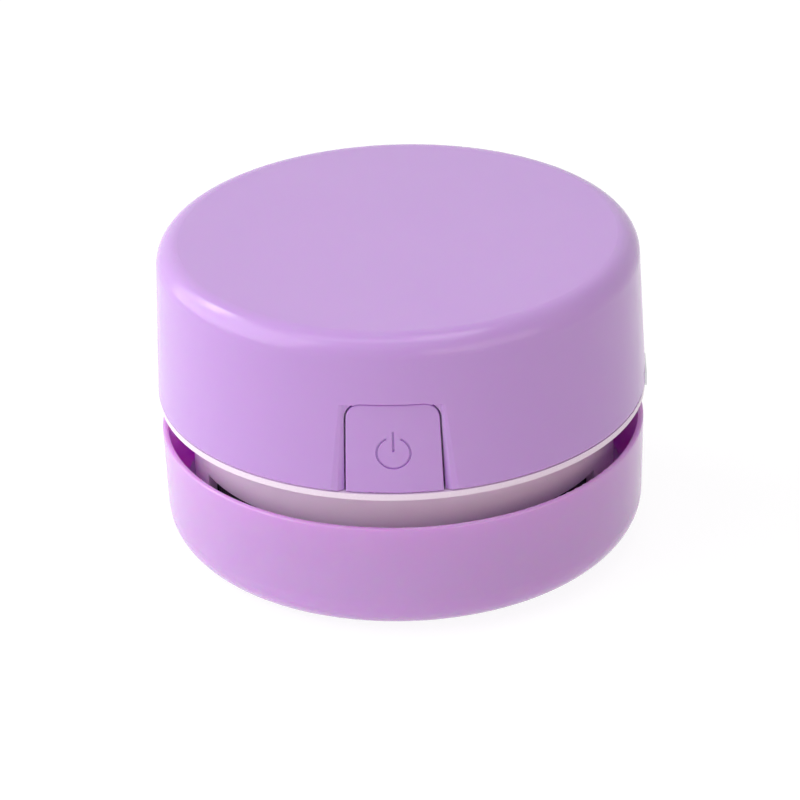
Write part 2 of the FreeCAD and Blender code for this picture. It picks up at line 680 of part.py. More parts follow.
POST_CIRCLE = SHELL_INSIDE - size("post_inset")
OUTER_STANDOFF_CIRCLE = BOARD_OUTER_RADIUS - size("standoff_inset")
NOZZLE_SCREWS = [around(size("nozzle_screw_circle"), FULL_TURN * turn / NOZZLE_SCREW_COUNT)
                 for turn in range(NOZZLE_SCREW_COUNT)]
SHELL_POSTS = [around(POST_CIRCLE, azimuth)
               for azimuth in (size("front_post_azimuth"), -size("front_post_azimuth"),
                               size("back_post_azimuth"), -size("back_post_azimuth"))]
MOTOR_SCREWS = [(size("motor_screw_reach"), as_size(0)), (-size("motor_screw_reach"), as_size(0))]
CLAMP_POSTS = [(CLAMP_REACH, CLAMP_BACK), (-CLAMP_REACH, CLAMP_BACK)]
STANDOFFS = [around((CRADLE_OUTSIDE + SWITCH_BACK) / 2, 0),
             around(OUTER_STANDOFF_CIRCLE, size("front_standoff_azimuth")),
             around(OUTER_STANDOFF_CIRCLE, size("side_standoff_azimuth"))]


# Base

def dust_cup():
    """The cup: floor round the centre plate, side wall and rim."""
    body = new_body("dust_cup")
    inside = CENTRE_WALL + size("fit_clearance")
    wall_foot = CUP_FOOT_RADIUS - size("cup_wall")
    rim_inside = CUP_RIM_RADIUS - size("cup_wall")
    revolve(body, "bowl", [
        (inside, CUP_FOOT), (CUP_FOOT_RADIUS, CUP_FOOT), (CUP_RIM_RADIUS, CUP_RIM),
        (rim_inside, CUP_RIM), (wall_foot, FLOOR_TOP), (inside, FLOOR_TOP),
    ])
    round_edges(body, "outer_corner", [(CUP_FOOT_RADIUS, CUP_FOOT)], size("cup_corner"))
    round_edges(body, "inner_corner", [(wall_foot, FLOOR_TOP)], size("cup_corner") - size("cup_wall"))
    rim = [(CUP_RIM_RADIUS, CUP_RIM), (rim_inside, CUP_RIM)]
    round_edges(body, "rim", rim, size("cup_rim_rounding"))
    return keep(body)


def centre_plate():
    """Raised plate in the middle of the cup's floor, with the recess below it and screw bosses above."""
    body = new_body("centre_plate")
    bore = NOZZLE_OUTSIDE + size("fit_clearance")
    revolve(body, "plate", [
        (bore, CENTRE_UNDERSIDE), (size("recess_radius"), CENTRE_UNDERSIDE),
        (size("recess_radius"), CUP_FOOT),
        (CENTRE_WALL, CUP_FOOT), (CENTRE_WALL, CENTRE_TOP), (bore, CENTRE_TOP),
    ])
    boss_height = size("nozzle_boss_height")
    hole_height = size("nozzle_screw_bite") + size("overrun")
    discs(body, "bosses", NOZZLE_SCREWS, BOSS_RADIUS, CENTRE_TOP, boss_height)
    holes(body, "screw_holes", NOZZLE_SCREWS, SCREW_HOLE, CENTRE_UNDERSIDE, hole_height)
    return keep(body)


def cup_seat():
    """Ring in the cup with the seat of the head and the wall that centres it, clear of the cup's rounding."""
    body = new_body("cup_seat")
    top = SEAT + size("locator_height")
    outside = LOCATOR_RADIUS + size("locator_wall")
    rounding = size("cup_corner") - size("cup_wall")
    flat_end = CUP_FOOT_RADIUS - size("cup_wall") - rounding
    past = outside - flat_end
    rise = rounding - root(rounding * rounding - past * past)
    revolve(body, "ring", [
        (SEAT_RADIUS, FLOOR_TOP), (flat_end, FLOOR_TOP), (outside, FLOOR_TOP + rise), (outside, top),
        (LOCATOR_RADIUS, top), (LOCATOR_RADIUS, SEAT), (SEAT_RADIUS, SEAT),
    ])
    return keep(body)


def glide_feet():
    """Rubber feet under the cup's floor."""
    body = new_body("glide_feet")
    circle = CUP_RIM_RADIUS - size("foot_inset")
    places = [around(circle, FULL_TURN * (turn + 0.5) / FOOT_COUNT) for turn in range(FOOT_COUNT)]
    discs(body, "feet", places, size("foot_radius"), 0, CUP_FOOT)
    return keep(body)


def seal_ring():
    """Flat rubber ring on the seat, under the filter cage."""
    body = new_body("seal_ring")
    outside = LOCATOR_RADIUS - size("fit_clearance")
    inside = SEAT_RADIUS + size("fit_clearance")
    revolve(body, "ring", rectangle((inside, SEAT), (outside, FILTER_FOOT)))
    return keep(body)


def intake_nozzle():
    """Tube that leads the dust up into the cup, on a flange in the underside's recess."""
    body = new_body("intake_nozzle")
    inside = size("nozzle_radius")
    revolve(body, "tube", [
        (inside, BRUSH_FOOT), (NOZZLE_OUTSIDE, BRUSH_FOOT), (NOZZLE_OUTSIDE, NOZZLE_SHELF),
        (size("nozzle_flange_radius"), NOZZLE_SHELF), (size("nozzle_flange_radius"), CENTRE_UNDERSIDE),
        (NOZZLE_OUTSIDE, CENTRE_UNDERSIDE), (NOZZLE_OUTSIDE, NOZZLE_TOP), (inside, NOZZLE_TOP),
    ])
    holes(body, "screw_holes", NOZZLE_SCREWS, SCREW_HOLE, NOZZLE_SHELF, size("nozzle_flange"))
    return keep(body)


def brush_ring():
    """Holder of the bristles, screwed under the nozzle's flange."""
    body = new_body("brush_ring")
    bore = NOZZLE_OUTSIDE + size("fit_clearance")
    revolve(body, "holder", rectangle((bore, BRUSH_FOOT), (size("nozzle_flange_radius"), NOZZLE_SHELF)))
    head_hole = size("screw_head_radius") + size("fit_clearance")
    holes(body, "head_holes", NOZZLE_SCREWS, head_hole, BRUSH_FOOT, size("screw_head_height"))
    holes(body, "screw_holes", NOZZLE_SCREWS, SCREW_HOLE, BRUSH_FOOT, size("brush_ring_height"))
    return keep(body)


def brush_tufts():
    """Tufts of bristles that hang from the holder almost to the desk."""
    body = new_body("brush_tufts")
    places = [around(size("tuft_circle"), FULL_TURN * turn / TUFT_COUNT) for turn in range(TUFT_COUNT)]
    foot = size("tuft_desk_gap")
    discs(body, "tufts", places, size("tuft_radius"), foot, BRUSH_FOOT - foot)
    return keep(body)


def nozzle_screws():
    """Screws through brush ring and flange into the cup's bosses."""
    seat = BRUSH_FOOT + size("screw_head_height")
    bite = CENTRE_UNDERSIDE - seat + size("nozzle_screw_bite")
    return screws("nozzle_screws", NOZZLE_SCREWS, seat, bite, head_up=False)


# White frame of the head

def white_ring():
    """White ring under the shell, with the lip that centres the shell and room for button and socket."""
    body = new_body("white_ring")
    inside = SKIRT_RADIUS + size("fit_clearance")
    platform = RING_RADIUS - size("seam_depth")
    revolve(body, "section", [
        (inside, RING_FOOT), (RING_RADIUS, RING_FOOT), (RING_RADIUS, RING_TOP), (platform, RING_TOP),
        (platform, SHELL_FOOT), (LIP_OUTSIDE, SHELL_FOOT), (LIP_OUTSIDE, LIP_TOP), (LIP_INSIDE, LIP_TOP),
        (LIP_INSIDE, SHELL_FOOT), (inside, SHELL_FOOT),
    ])
    overrun = size("overrun")
    half = size("button_foot_width") / 2 + size("button_flange_margin") + overrun
    front = size("shell_foot_radius") + overrun
    block_cut(body, "button_notch", (-half, -front, RING_TOP), (half, -BOARD_FRONT, LIP_TOP + overrun))
    half = size("socket_width") / 2 + size("socket_flare") + size("socket_notch_gap")
    foot = SOCKET_FOOT - size("fit_clearance")
    back = SOCKET_BACK - size("fit_clearance")
    block_cut(body, "socket_notch", (back, -half, foot), (front, half, LIP_TOP + overrun))
    return keep(body)


def filter_skirt():
    """Skirt that hangs from the ring into the cup, with air windows in front and behind."""
    body = new_body("filter_skirt")
    revolve(body, "tube", rectangle((SKIRT_INSIDE, SKIRT_FOOT), (SKIRT_RADIUS, SHELL_FOOT)))
    foot = SKIRT_FOOT + size("window_sill")
    height = CUP_RIM - size("window_drop") - foot
    half = size("window_half_angle")
    overrun = size("overrun")
    sketch = new_sketch(body, "window", "XY_Plane", foot)
    inner = SKIRT_INSIDE - overrun
    outer = SKIRT_RADIUS + overrun
    sector(sketch, inner, outer, as_size(-90) - half, as_size(-90) + half)
    repeat(body, [pocket(body, sketch, height, along_normal=True)], WINDOW_COUNT)
    return keep(body)


def fan_deck():
    """Round deck inside the skirt, between the fan's chamber and the electronics."""
    body = new_body("fan_deck")
    boss_hole = size("motor_boss_radius") + size("fit_clearance")
    outside = SKIRT_INSIDE - size("fit_clearance")
    revolve(body, "disc", rectangle((boss_hole, DECK_UNDERSIDE), (outside, DECK_TOP)))
    holes(body, "screw_holes", SHELL_POSTS + MOTOR_SCREWS, SCREW_HOLE, DECK_UNDERSIDE, size("deck_thickness"))
    return keep(body)


def motor_cradle():
    """Ring on the deck round the motor's sleeve."""
    body = new_body("motor_cradle")
    top = DECK_TOP + size("cradle_height")
    revolve(body, "ring", rectangle((CRADLE_INSIDE, DECK_TOP), (CRADLE_OUTSIDE, top)))
    return keep(body)


def board_standoffs():
    """Posts on the deck that the circuit board is screwed to."""
    body = new_body("board_standoffs")
    discs(body, "posts", STANDOFFS, BOSS_RADIUS, DECK_TOP, size("board_lift"))
    bite = size("board_screw_bite")
    holes(body, "holes", STANDOFFS, SCREW_HOLE, BOARD_FOOT - bite, bite)
    return keep(body)


def battery_tray():
    """Strip on the deck with two saddle ribs hollowed to the cell and two posts for the clamp."""
    body = new_body("battery_tray")
    low = (-CLAMP_REACH, CLAMP_BACK - BOSS_RADIUS, DECK_TOP)
    block(body, "strip", low, (CLAMP_REACH, CLAMP_BACK + BOSS_RADIUS, DECK_TOP + size("tray_thickness")))
    half = CELL_RADIUS * SADDLE_WIDTH_SHARE
    rib = size("saddle_rib") / 2
    top = DECK_TOP + size("cell_lift") + CELL_RADIUS * SADDLE_HEIGHT_SHARE
    reach = CELL_HALF * SADDLE_SHARE
    for name, middle in (("right_saddle", reach), ("left_saddle", -reach)):
        low = (middle - rib, CELL_BACK - half, DECK_TOP)
        block(body, name, low, (middle + rib, CELL_BACK + half, top))
    sketch = new_sketch(body, "cell_hollow", "YZ_Plane")
    circles(sketch, [(CELL_BACK, CELL_HEIGHT)], CELL_RADIUS + size("fit_clearance"))
    pocket(body, sketch, CELL_HALF * 2, both_ways=True)
    discs(body, "posts", CLAMP_POSTS, BOSS_RADIUS, DECK_TOP, CLAMP_FOOT - DECK_TOP)
    bite = size("clamp_screw_bite")
    holes(body, "holes", CLAMP_POSTS, SCREW_HOLE, CLAMP_FOOT - bite, bite)
    return keep(body)


# Filter

def filter_frame():
    """Cage that hangs under the skirt and holds the filter cloth behind the windows."""
    body = new_body("filter_frame")
    top = DECK_UNDERSIDE - size("fit_clearance")
    revolve(body, "cage", [
        (CAGE_INSIDE, FILTER_FOOT), (SKIRT_RADIUS, FILTER_FOOT), (SKIRT_RADIUS, SKIRT_FOOT),
        (CAGE_OUTSIDE, SKIRT_FOOT), (CAGE_OUTSIDE, top), (CAGE_INSIDE, top),
    ])
    band = size("filter_band")
    overrun = size("overrun")
    half = size("filter_window_half_angle")
    sketch = new_sketch(body, "opening", "XY_Plane", SKIRT_FOOT + band)
    sector(sketch, CAGE_INSIDE - overrun, CAGE_OUTSIDE + overrun, -half, half)
    height = top - band - SKIRT_FOOT - band
    repeat(body, [pocket(body, sketch, height, along_normal=True)], FILTER_WINDOW_COUNT)
    return keep(body)


def filter_mesh():
    """Fine black filter cloth round the cage."""
    body = new_body("filter_mesh")
    outside = CLOTH_INSIDE + size("filter_cloth")
    top = DECK_UNDERSIDE - size("fit_clearance")
    revolve(body, "cloth", rectangle((CLOTH_INSIDE, SKIRT_FOOT), (outside, top)))
    return keep(body)


# Shell and button

def top_shell():
    """Round shell with posts, the flat relief and opening for the button, and the socket's notch."""
    body = new_body("top_shell")
    foot = size("shell_foot_radius")
    top = SHELL_TOP_RADIUS
    wall = size("shell_wall")
    revolve(body, "shell", [
        (foot - wall, SHELL_FOOT), (foot, SHELL_FOOT), (top, SHELL_TOP), (0, SHELL_TOP),
        (0, ROOF), (shell_radius(ROOF) - wall, ROOF),
    ])
    round_edges(body, "shoulder", [(top, SHELL_TOP)], size("shell_shoulder"))
    inner_round = size("shell_shoulder") - size("shell_wall")
    round_edges(body, "inner_shoulder", [(shell_radius(ROOF) - wall, ROOF)], inner_round)
    round_edges(body, "foot", [(foot, SHELL_FOOT)], size("shell_foot_rounding"))
    post_height = ROOF + size("shell_roof") / 2 - DECK_TOP
    discs(body, "posts", SHELL_POSTS, size("post_radius"), DECK_TOP, post_height)
    holes(body, "post_holes", SHELL_POSTS, SCREW_HOLE, DECK_TOP, size("post_hole_depth"))
    button_relief(body)
    button_opening(body)
    socket_opening(body)
    return keep(body)


def relief_section(body, name, height, half_button, reach, dip):
    """The relief in plan at a height: a flat rim on each side that dips towards the button."""
    radius = shell_radius(height)
    inner = half_button + size("button_gap")
    middle = inner + reach / 2
    rim = inner + reach
    rim_face = root(radius * radius - rim * rim)
    floor = rim_face - dip
    outside = size("shell_foot_radius") + size("overrun")
    wide = rim + size("overrun")
    sketch = new_sketch(body, name, "XY_Plane", height)
    outline(sketch, [
        (-wide, -outside), (wide, -outside), (rim, -rim_face), (middle, -rim_face), (inner, -floor),
        (-inner, -floor), (-middle, -rim_face), (-rim, -rim_face),
    ])
    return sketch


def button_relief(body):
    """A relief beside the button, widest and deepest at the shell's foot."""
    lower = relief_section(body, "relief_foot", SHELL_FOOT, size("button_foot_width") / 2,
                           size("relief_foot_reach"), size("relief_foot_dip"))
    upper = relief_section(body, "relief_top", BUTTON_TOP, BUTTON_HALF_TOP,
                           size("relief_top_reach"), size("relief_top_dip"))
    before = body.Tip
    feature = body.newObject("PartDesign::SubtractiveLoft", f"{body.Name}_relief")
    feature.Profile = lower
    feature.Sections = [upper]
    feature.Ruled = True
    cuts.append((before, feature))


def button_outline(margin, foot, top_margin):
    """The button's outline in front view, grown by a margin at its sides and top."""
    half_foot = size("button_foot_width") / 2 + margin
    half_top = size("button_top_width") / 2 + margin
    top = BUTTON_TOP + top_margin
    places = [(-half_foot, foot), (half_foot, foot), (half_top, top), (-half_top, top)]
    corner = size("button_corner") + margin
    return places, [(2, corner), (3, corner)]


def button_opening(body):
    """The opening that the button moves in, open at the shell's foot."""
    gap = size("button_gap")
    overrun = size("overrun")
    start = size("shell_foot_radius") + overrun
    sketch = new_sketch(body, "button_opening", "XZ_Plane", start)
    places, corners = button_outline(gap, SHELL_FOOT - overrun, gap)
    outline(sketch, places, corners)
    pocket(body, sketch, start - BUTTON_PLATE_FACE + overrun)


def socket_opening(body):
    """A notch for the socket's lip at the shell's foot."""
    half = size("socket_width") / 2 + size("socket_flare") + size("socket_notch_gap")
    top = BOARD_FOOT + size("socket_flare") + size("socket_notch_gap")
    overrun = size("overrun")
    outside = size("shell_foot_radius") + overrun
    sketch = new_sketch(body, "socket_opening", "YZ_Plane", outside)
    places = rectangle((-half, SHELL_FOOT - overrun), (half, top))
    corner = size("socket_notch_gap") + size("socket_flare")
    outline(sketch, places, [(2, corner), (3, corner)])
    pocket(body, sketch, size("shell_wall") + overrun * 2)


def power_button():
    """Hollow button whose face follows the shell, with a plate behind the shell and the power symbol."""
    body = new_body("button_blank")
    outside = size("shell_foot_radius") + size("overrun")
    sketch = new_sketch(body, "front", "XZ_Plane", BUTTON_PLATE_BACK)
    places, corners = button_outline(as_size(0), SHELL_FOOT, as_size(0))
    outline(sketch, places, corners)
    pad(body, sketch, outside - BUTTON_PLATE_BACK)
    far = outside * 2
    top = SHELL_TOP
    turn_away(body, "face", [
        (BUTTON_FOOT_RADIUS, SHELL_FOOT), (far, SHELL_FOOT),
        (far, top), (SHELL_TOP_RADIUS - size("button_inset"), top),
    ])
    round_front(body, "edge", size("button_edge"))
    sketch = new_sketch(body, "plate", "XZ_Plane", BUTTON_PLATE_BACK)
    margin = size("button_flange_margin")
    places, corners = button_outline(margin, SHELL_FOOT + size("button_flange_lift"), margin)
    outline(sketch, places, corners)
    pad(body, sketch, size("button_flange"))
    wall = size("button_wall")
    sketch = new_sketch(body, "hollow", "XZ_Plane", BUTTON_PLATE_BACK)
    places, corners = button_outline(-wall, SHELL_FOOT + wall, -wall)
    outline(sketch, places, corners)
    pocket(body, sketch, BUTTON_HOLLOW_FACE - BUTTON_PLATE_BACK, along_normal=True)
    cutter = symbol_cutter()
    cut = doc.addObject("Part::Cut", "power_button")
    cut.Label = "power_button"
    cut.Base = body
    cut.Tool = cutter
    return keep(cut)


def symbol_cutter():
    """What the power symbol's groove takes out of the button: a ring with an opening, and a bar."""
    body = new_body("symbol_cutter")
    centre = (0, SHELL_FOOT + size("symbol_rise"))
    inner = size("symbol_radius") - size("symbol_line")
    opening = size("symbol_opening")
    outside = size("shell_foot_radius") + size("overrun")
    half_line = size("symbol_line") / 2
    sketch = new_sketch(body, "symbol", "XZ_Plane", BUTTON_PLATE_BACK)
    sector(sketch, inner, size("symbol_radius"), as_size(90) + opening, as_size(450) - opening, centre)
    low = (-half_line, centre[1] + size("symbol_bar_foot"))
    outline(sketch, rectangle(low, (half_line, centre[1] + size("symbol_bar_top"))))
    pad(body, sketch, outside - BUTTON_PLATE_BACK)
    depth = size("symbol_depth") + size("button_inset")
    turn_away(body, "kept_depth", [
        (0, SHELL_FOOT), (size("shell_foot_radius") - depth, SHELL_FOOT),
        (SHELL_TOP_RADIUS - depth, SHELL_TOP), (0, SHELL_TOP),
    ])
    return body


def switch_plunger():
    """Plunger between the button and the inside of the switch."""
    body = new_body("switch_plunger")
    half = size("plunger_width") / 2
    middle = BOARD_TOP + size("plunger_rise")
    back = SWITCH_FRONT - size("plunger_reach")
    block(body, "bar", (-half, -BUTTON_HOLLOW_FACE, middle - half), (half, -back, middle + half))
    return keep(body)


# Motor

def motor_can():
    """Steel can with the lower bush's boss."""
    body = new_body("motor_can")
    inside = size("motor_radius") - size("can_wall")
    boss_foot = DECK_TOP - size("motor_boss_drop")
    boss_top = boss_foot + size("bush_length")
    floor = DECK_TOP + size("can_wall")
    boss = size("motor_boss_radius")
    revolve(body, "can", [
        (BUSH_SEAT, boss_foot), (boss, boss_foot), (boss, DECK_TOP), (size("motor_radius"), DECK_TOP),
        (size("motor_radius"), CAN_TOP), (inside, CAN_TOP), (inside, floor), (boss, floor),
        (boss, boss_top), (BUSH_SEAT, boss_top),
    ])
    holes(body, "screw_holes", MOTOR_SCREWS, SCREW_HOLE, DECK_TOP, size("can_wall"))
    return keep(body)


def motor_end_cap():
    """Plastic cap with the upper bush's seat and the terminals."""
    body = new_body("motor_end_cap")
    plug = size("motor_radius") - size("can_wall") - size("shaft_clearance")
    plug_foot = CAN_TOP - size("motor_cap_plug")
    revolve(body, "cap", [
        (BUSH_SEAT, plug_foot), (plug, plug_foot), (plug, CAN_TOP), (size("motor_radius"), CAN_TOP),
        (size("motor_radius"), MOTOR_TOP), (BUSH_SEAT, MOTOR_TOP),
    ])
    return keep(body)


def motor_bushes():
    """Bronze bushes at both ends of the motor."""
    body = new_body("motor_bushes")
    bore = size("shaft_radius") + size("shaft_clearance")
    length = size("bush_length")
    lower = DECK_TOP - size("motor_boss_drop")
    revolve(body, "lower", rectangle((bore, lower), (size("bush_radius"), lower + length)))
    upper = MOTOR_TOP - length
    revolve(body, "upper", rectangle((bore, upper), (size("bush_radius"), upper + length)))
    return keep(body)


def motor_magnets():
    """Two curved magnets inside the can."""
    body = new_body("motor_magnets")
    outside = size("motor_radius") - size("can_wall") - size("shaft_clearance")
    inside = outside - size("magnet_thickness")
    overlap = size("magnet_overlap")
    sketch = new_sketch(body, "arc", "XY_Plane", CORE_FOOT - overlap)
    half = size("magnet_half_angle")
    sector(sketch, inside, outside, -half, half)
    repeat(body, [pad(body, sketch, CORE_TOP - CORE_FOOT + overlap * 2)], MAGNET_COUNT)
    return keep(body)


def motor_brushes():
    """Carbon brushes that hang from the end cap on both sides of the commutator."""
    body = new_body("motor_brushes")
    near = size("commutator_radius") + size("running_clearance")
    far = near + size("brush_block")
    half = size("brush_width") / 2
    top = CAN_TOP - size("motor_cap_plug")
    foot = COMMUTATOR_FOOT + size("commutator_length") / 4
    block(body, "right", (near, -half, foot), (far, half, top))
    block(body, "left", (-far, -half, foot), (-near, half, top))
    return keep(body)


def motor_terminals():
    """Brass terminals on top of the end cap."""
    body = new_body("motor_terminals")
    reach = size("terminal_reach")
    thick = size("terminal_thickness") / 2
    half = size("terminal_width") / 2
    top = MOTOR_TOP + size("terminal_height")
    block(body, "right", (reach - thick, -half, MOTOR_TOP), (reach + thick, half, top))
    block(body, "left", (-reach - thick, -half, MOTOR_TOP), (thick - reach, half, top))
    return keep(body)


def motor_sleeve():
    """Rubber sleeve between the motor and the frame's cradle."""
    body = new_body("motor_sleeve")
    inside = size("motor_radius") + size("shaft_clearance")
    revolve(body, "tube", rectangle((inside, DECK_TOP), (SLEEVE_OUTSIDE, DECK_TOP + size("sleeve_height"))))
    return keep(body)


def motor_shaft():
    """Shaft through both bushes down into the fan's hub."""
    body = new_body("motor_shaft")
    foot = BLADE_FOOT + size("overrun")
    top = MOTOR_TOP + size("shaft_stub")
    discs(body, "bar", [(0, 0)], size("shaft_radius"), foot, top - foot)
    return keep(body)


def armature_core():
    """Steel core with its poles and winding slots."""
    body = new_body("armature_core")
    bore = size("shaft_radius") + size("shaft_clearance")
    revolve(body, "disc", rectangle((bore, CORE_FOOT), (CORE_RADIUS, CORE_TOP)))
    overrun = size("overrun")
    length = CORE_TOP - CORE_FOOT + overrun
    foot = CORE_FOOT - overrun / 2
    rim_inside = CORE_RADIUS - size("armature_shoe")
    half = size("slot_half_angle")
    slot = new_sketch(body, "slot", "XY_Plane", foot)
    sector(slot, size("armature_hub"), rim_inside, -half, half)
    slot_pocket = pocket(body, slot, length, along_normal=True)
    half = size("slot_mouth_half_angle")
    mouth = new_sketch(body, "mouth", "XY_Plane", foot)
    sector(mouth, size("armature_hub"), CORE_RADIUS + overrun, -half, half)
    mouth_pocket = pocket(body, mouth, length, along_normal=True)
    repeat(body, [slot_pocket, mouth_pocket], POLE_COUNT)
    return keep(body)


def armature_windings(core):
    """Copper windings that fill the core's slots and stand out at both ends."""
    body = new_body("winding_blank")
    inside = size("armature_hub") + size("shaft_clearance")
    outside = CORE_RADIUS - size("armature_shoe") - size("shaft_clearance")
    overhang = size("winding_overhang")
    revolve(body, "ring", rectangle((inside, CORE_FOOT - overhang), (outside, CORE_TOP + overhang)))
    cut = doc.addObject("Part::Cut", "armature_windings")
    cut.Label = "armature_windings"
    cut.Base = body
    cut.Tool = core
    return keep(cut)


def commutator():
    """Copper commutator on the shaft above the windings."""
    body = new_body("commutator")
    bore = size("shaft_radius") + size("shaft_clearance")
    top = COMMUTATOR_FOOT + size("commutator_length")
    revolve(body, "barrel", rectangle((bore, COMMUTATOR_FOOT), (size("commutator_radius"), top)))
    return keep(body)


def impeller():
    """Fan with curved blades under a plate, on a hub."""
    body = new_body("impeller")
    hub = size("hub_radius")
    bore = size("shaft_radius") + size("shaft_clearance")
    hub_top = DECK_UNDERSIDE - size("hub_gap")
    rim = FAN_RADIUS
    revolve(body, "plate", [
        (bore, BLADE_FOOT), (hub, BLADE_FOOT), (hub, BLADE_TOP), (rim, BLADE_TOP), (rim, FAN_TOP),
        (hub, FAN_TOP), (hub, hub_top), (bore, hub_top),
    ])
    # A blade is an arc that starts in the hub's wall and ends just inside the plate's rim.
    curve = size("blade_curve")
    half_thick = size("blade_thickness") / 2
    tip = rim - size("blade_margin")
    root_circle = (hub + bore) / 2
    chord = tip - root_circle
    drop = root(curve * curve - chord * chord / 4)
    centre = (root_circle + chord / 2, -drop)
    half_chord = FreeCAD.Vector(chord.number / 2, drop.number, 0)
    swing = Size(90 - (180 / pi) * half_chord.getAngle(FreeCAD.Vector(1, 0, 0)),
                 f"(90 - atan({drop.formula} / ({chord.formula} / 2)) / 1deg)")
    sketch = new_sketch(body, "blade", "XY_Plane", BLADE_FOOT)
    sector(sketch, curve - half_thick, curve + half_thick, as_size(90) - swing, as_size(90) + swing, centre)
    repeat(body, [pad(body, sketch, BLADE_TOP - BLADE_FOOT)], BLADE_COUNT)
    return keep(body)


# Battery

def battery_cell():
    """Round cell across the back of the head."""
    body = new_body("battery_cell")
    sketch = new_sketch(body, "can", "YZ_Plane")
    circles(sketch, [(CELL_BACK, CELL_HEIGHT)], CELL_RADIUS)
    pad(body, sketch, CELL_HALF * 2, both_ways=True)
    return keep(body)


def battery_tabs():
    """Nickel tabs on both ends of the cell, each with a tongue towards the motor."""
    body = new_body("battery_tabs")
    near = CELL_HALF
    far = near + size("tab_thickness")
    half = CELL_RADIUS * TAB_WIDTH_SHARE
    front = CELL_BACK - CELL_RADIUS * TAB_REACH_SHARE
    back = CELL_BACK + half
    block(body, "right", (near, front, CELL_HEIGHT - half), (far, back, CELL_HEIGHT + half))
    block(body, "left", (-far, front, CELL_HEIGHT - half), (-near, back, CELL_HEIGHT + half))
    return keep(body)


def battery_pad():
    """Foam pad between the cell and the clamp."""
    body = new_body("battery_pad")
    half = size("clamp_half_width")
    reach = CELL_HALF * CLAMP_PAD_SHARE
    foot = CLAMP_FOOT - size("clamp_pad")
    block(body, "pad", (-reach, CLAMP_BACK - half, foot), (reach, CLAMP_BACK + half, CLAMP_FOOT))
    return keep(body)


def battery_clamp():
    """Bar across the cell, screwed to two posts of the frame."""
    body = new_body("battery_clamp")
    half = size("clamp_half_width")
    reach = CLAMP_REACH + BOSS_RADIUS
    block(body, "bar", (-reach, CLAMP_BACK - half, CLAMP_FOOT), (reach, CLAMP_BACK + half, CLAMP_TOP))
    holes(body, "screw_holes", CLAMP_POSTS, SCREW_HOLE, CLAMP_FOOT, size("clamp_thickness"))
    return keep(body)


# Circuit board

def circuit_board():
    """Board that curves round the motor from the switch to the charging socket."""
    body = new_body("circuit_board")
    start = size("board_start_azimuth") - 90
    end = size("board_end_azimuth") - 90
    sketch = new_sketch(body, "board", "XY_Plane", BOARD_FOOT)
    sector(sketch, BOARD_INNER_RADIUS, BOARD_OUTER_RADIUS, start, end)
    pad(body, sketch, size("board_thickness"))
    overrun = size("overrun")
    outside = BOARD_OUTER_RADIUS + overrun
    foot = BOARD_FOOT - overrun
    top = BOARD_TOP + overrun
    block_cut(body, "front_cut", (-outside, -outside, foot), (outside, -BOARD_FRONT, top))
    post_hole = size("post_radius") + size("fit_clearance") * 2
    holes(body, "post_hole", SHELL_POSTS[:1], post_hole, foot, top - foot)
    holes(body, "screw_holes", STANDOFFS, SCREW_HOLE, foot, top - foot)
    return keep(body)


def board_parts():
    """Charging chip, coil and small parts on the board.

    Places are azimuth and share of the board's width, sizes are shares of the switch's width.
    """
    body = new_body("board_parts")
    width = BOARD_OUTER_RADIUS - BOARD_INNER_RADIUS
    for number, (azimuth, place_share, long_share, wide_share, high_share) in enumerate(BOARD_PART_SHARES):
        x, y = around(BOARD_INNER_RADIUS + width * place_share, azimuth)
        half_long = size("switch_width") * long_share / 2
        half_wide = size("switch_width") * wide_share / 2
        low = (x - half_long, y - half_wide, BOARD_TOP)
        high = (x + half_long, y + half_wide, BOARD_TOP + size("switch_width") * high_share)
        block(body, f"part_{number}", low, high)
    return keep(body)


def switch_housing():
    """Push switch behind the button, hollow for its plunger."""
    body = new_body("switch_housing")
    half = size("switch_width") / 2
    top = BOARD_TOP + size("switch_height")
    block(body, "box", (-half, -SWITCH_FRONT, BOARD_TOP), (half, -SWITCH_BACK, top))
    bore = size("plunger_width") / 2 + size("running_clearance")
    middle = BOARD_TOP + size("plunger_rise")
    depth = size("plunger_reach") + size("button_travel") + size("running_clearance")
    sketch = new_sketch(body, "bore", "XZ_Plane", SWITCH_FRONT)
    outline(sketch, rectangle((-bore, middle - bore), (bore, middle + bore)))
    pocket(body, sketch, depth)
    return keep(body)


# Charging socket

def socket_outline(grow):
    """The socket's cross-section, wider above than below, grown to all sides."""
    half = size("socket_width") / 2 + grow
    bevel = size("socket_bevel")
    foot = SOCKET_FOOT - grow
    top = BOARD_FOOT + grow
    return [(half - bevel, foot), (half, foot + bevel), (half, top), (-half, top), (-half, foot + bevel),
            (bevel - half, foot)]


def charging_socket():
    """Sheet-metal socket under the board's edge, with a flared lip in the shell's notch."""
    body = new_body("charging_socket")
    back = SOCKET_BACK
    sketch = new_sketch(body, "can", "YZ_Plane", back)
    outline(sketch, socket_outline(as_size(0)))
    pad(body, sketch, size("socket_length") + size("socket_lip"))
    sketch = new_sketch(body, "lip", "YZ_Plane", SOCKET_MOUTH - size("socket_lip"))
    outline(sketch, socket_outline(size("socket_flare")))
    pad(body, sketch, size("socket_lip"))
    metal = size("socket_metal")
    sketch = new_sketch(body, "mouth", "YZ_Plane", back + metal)
    outline(sketch, socket_outline(-metal))
    depth = size("socket_length") + size("socket_lip")
    pocket(body, sketch, depth, along_normal=True)
    return keep(body)


def socket_tongue():
    """Plastic tongue inside the socket."""
    body = new_body("socket_tongue")
    back = SOCKET_BACK + size("socket_metal")
    tip = SOCKET_MOUTH - size("tongue_setback")
    half = size("tongue_width") / 2
    top = BOARD_FOOT - size("socket_metal") * 2
    block(body, "tongue", (back, -half, top - size("tongue_thickness")), (tip, half, top))
    return keep(body)


# Leads

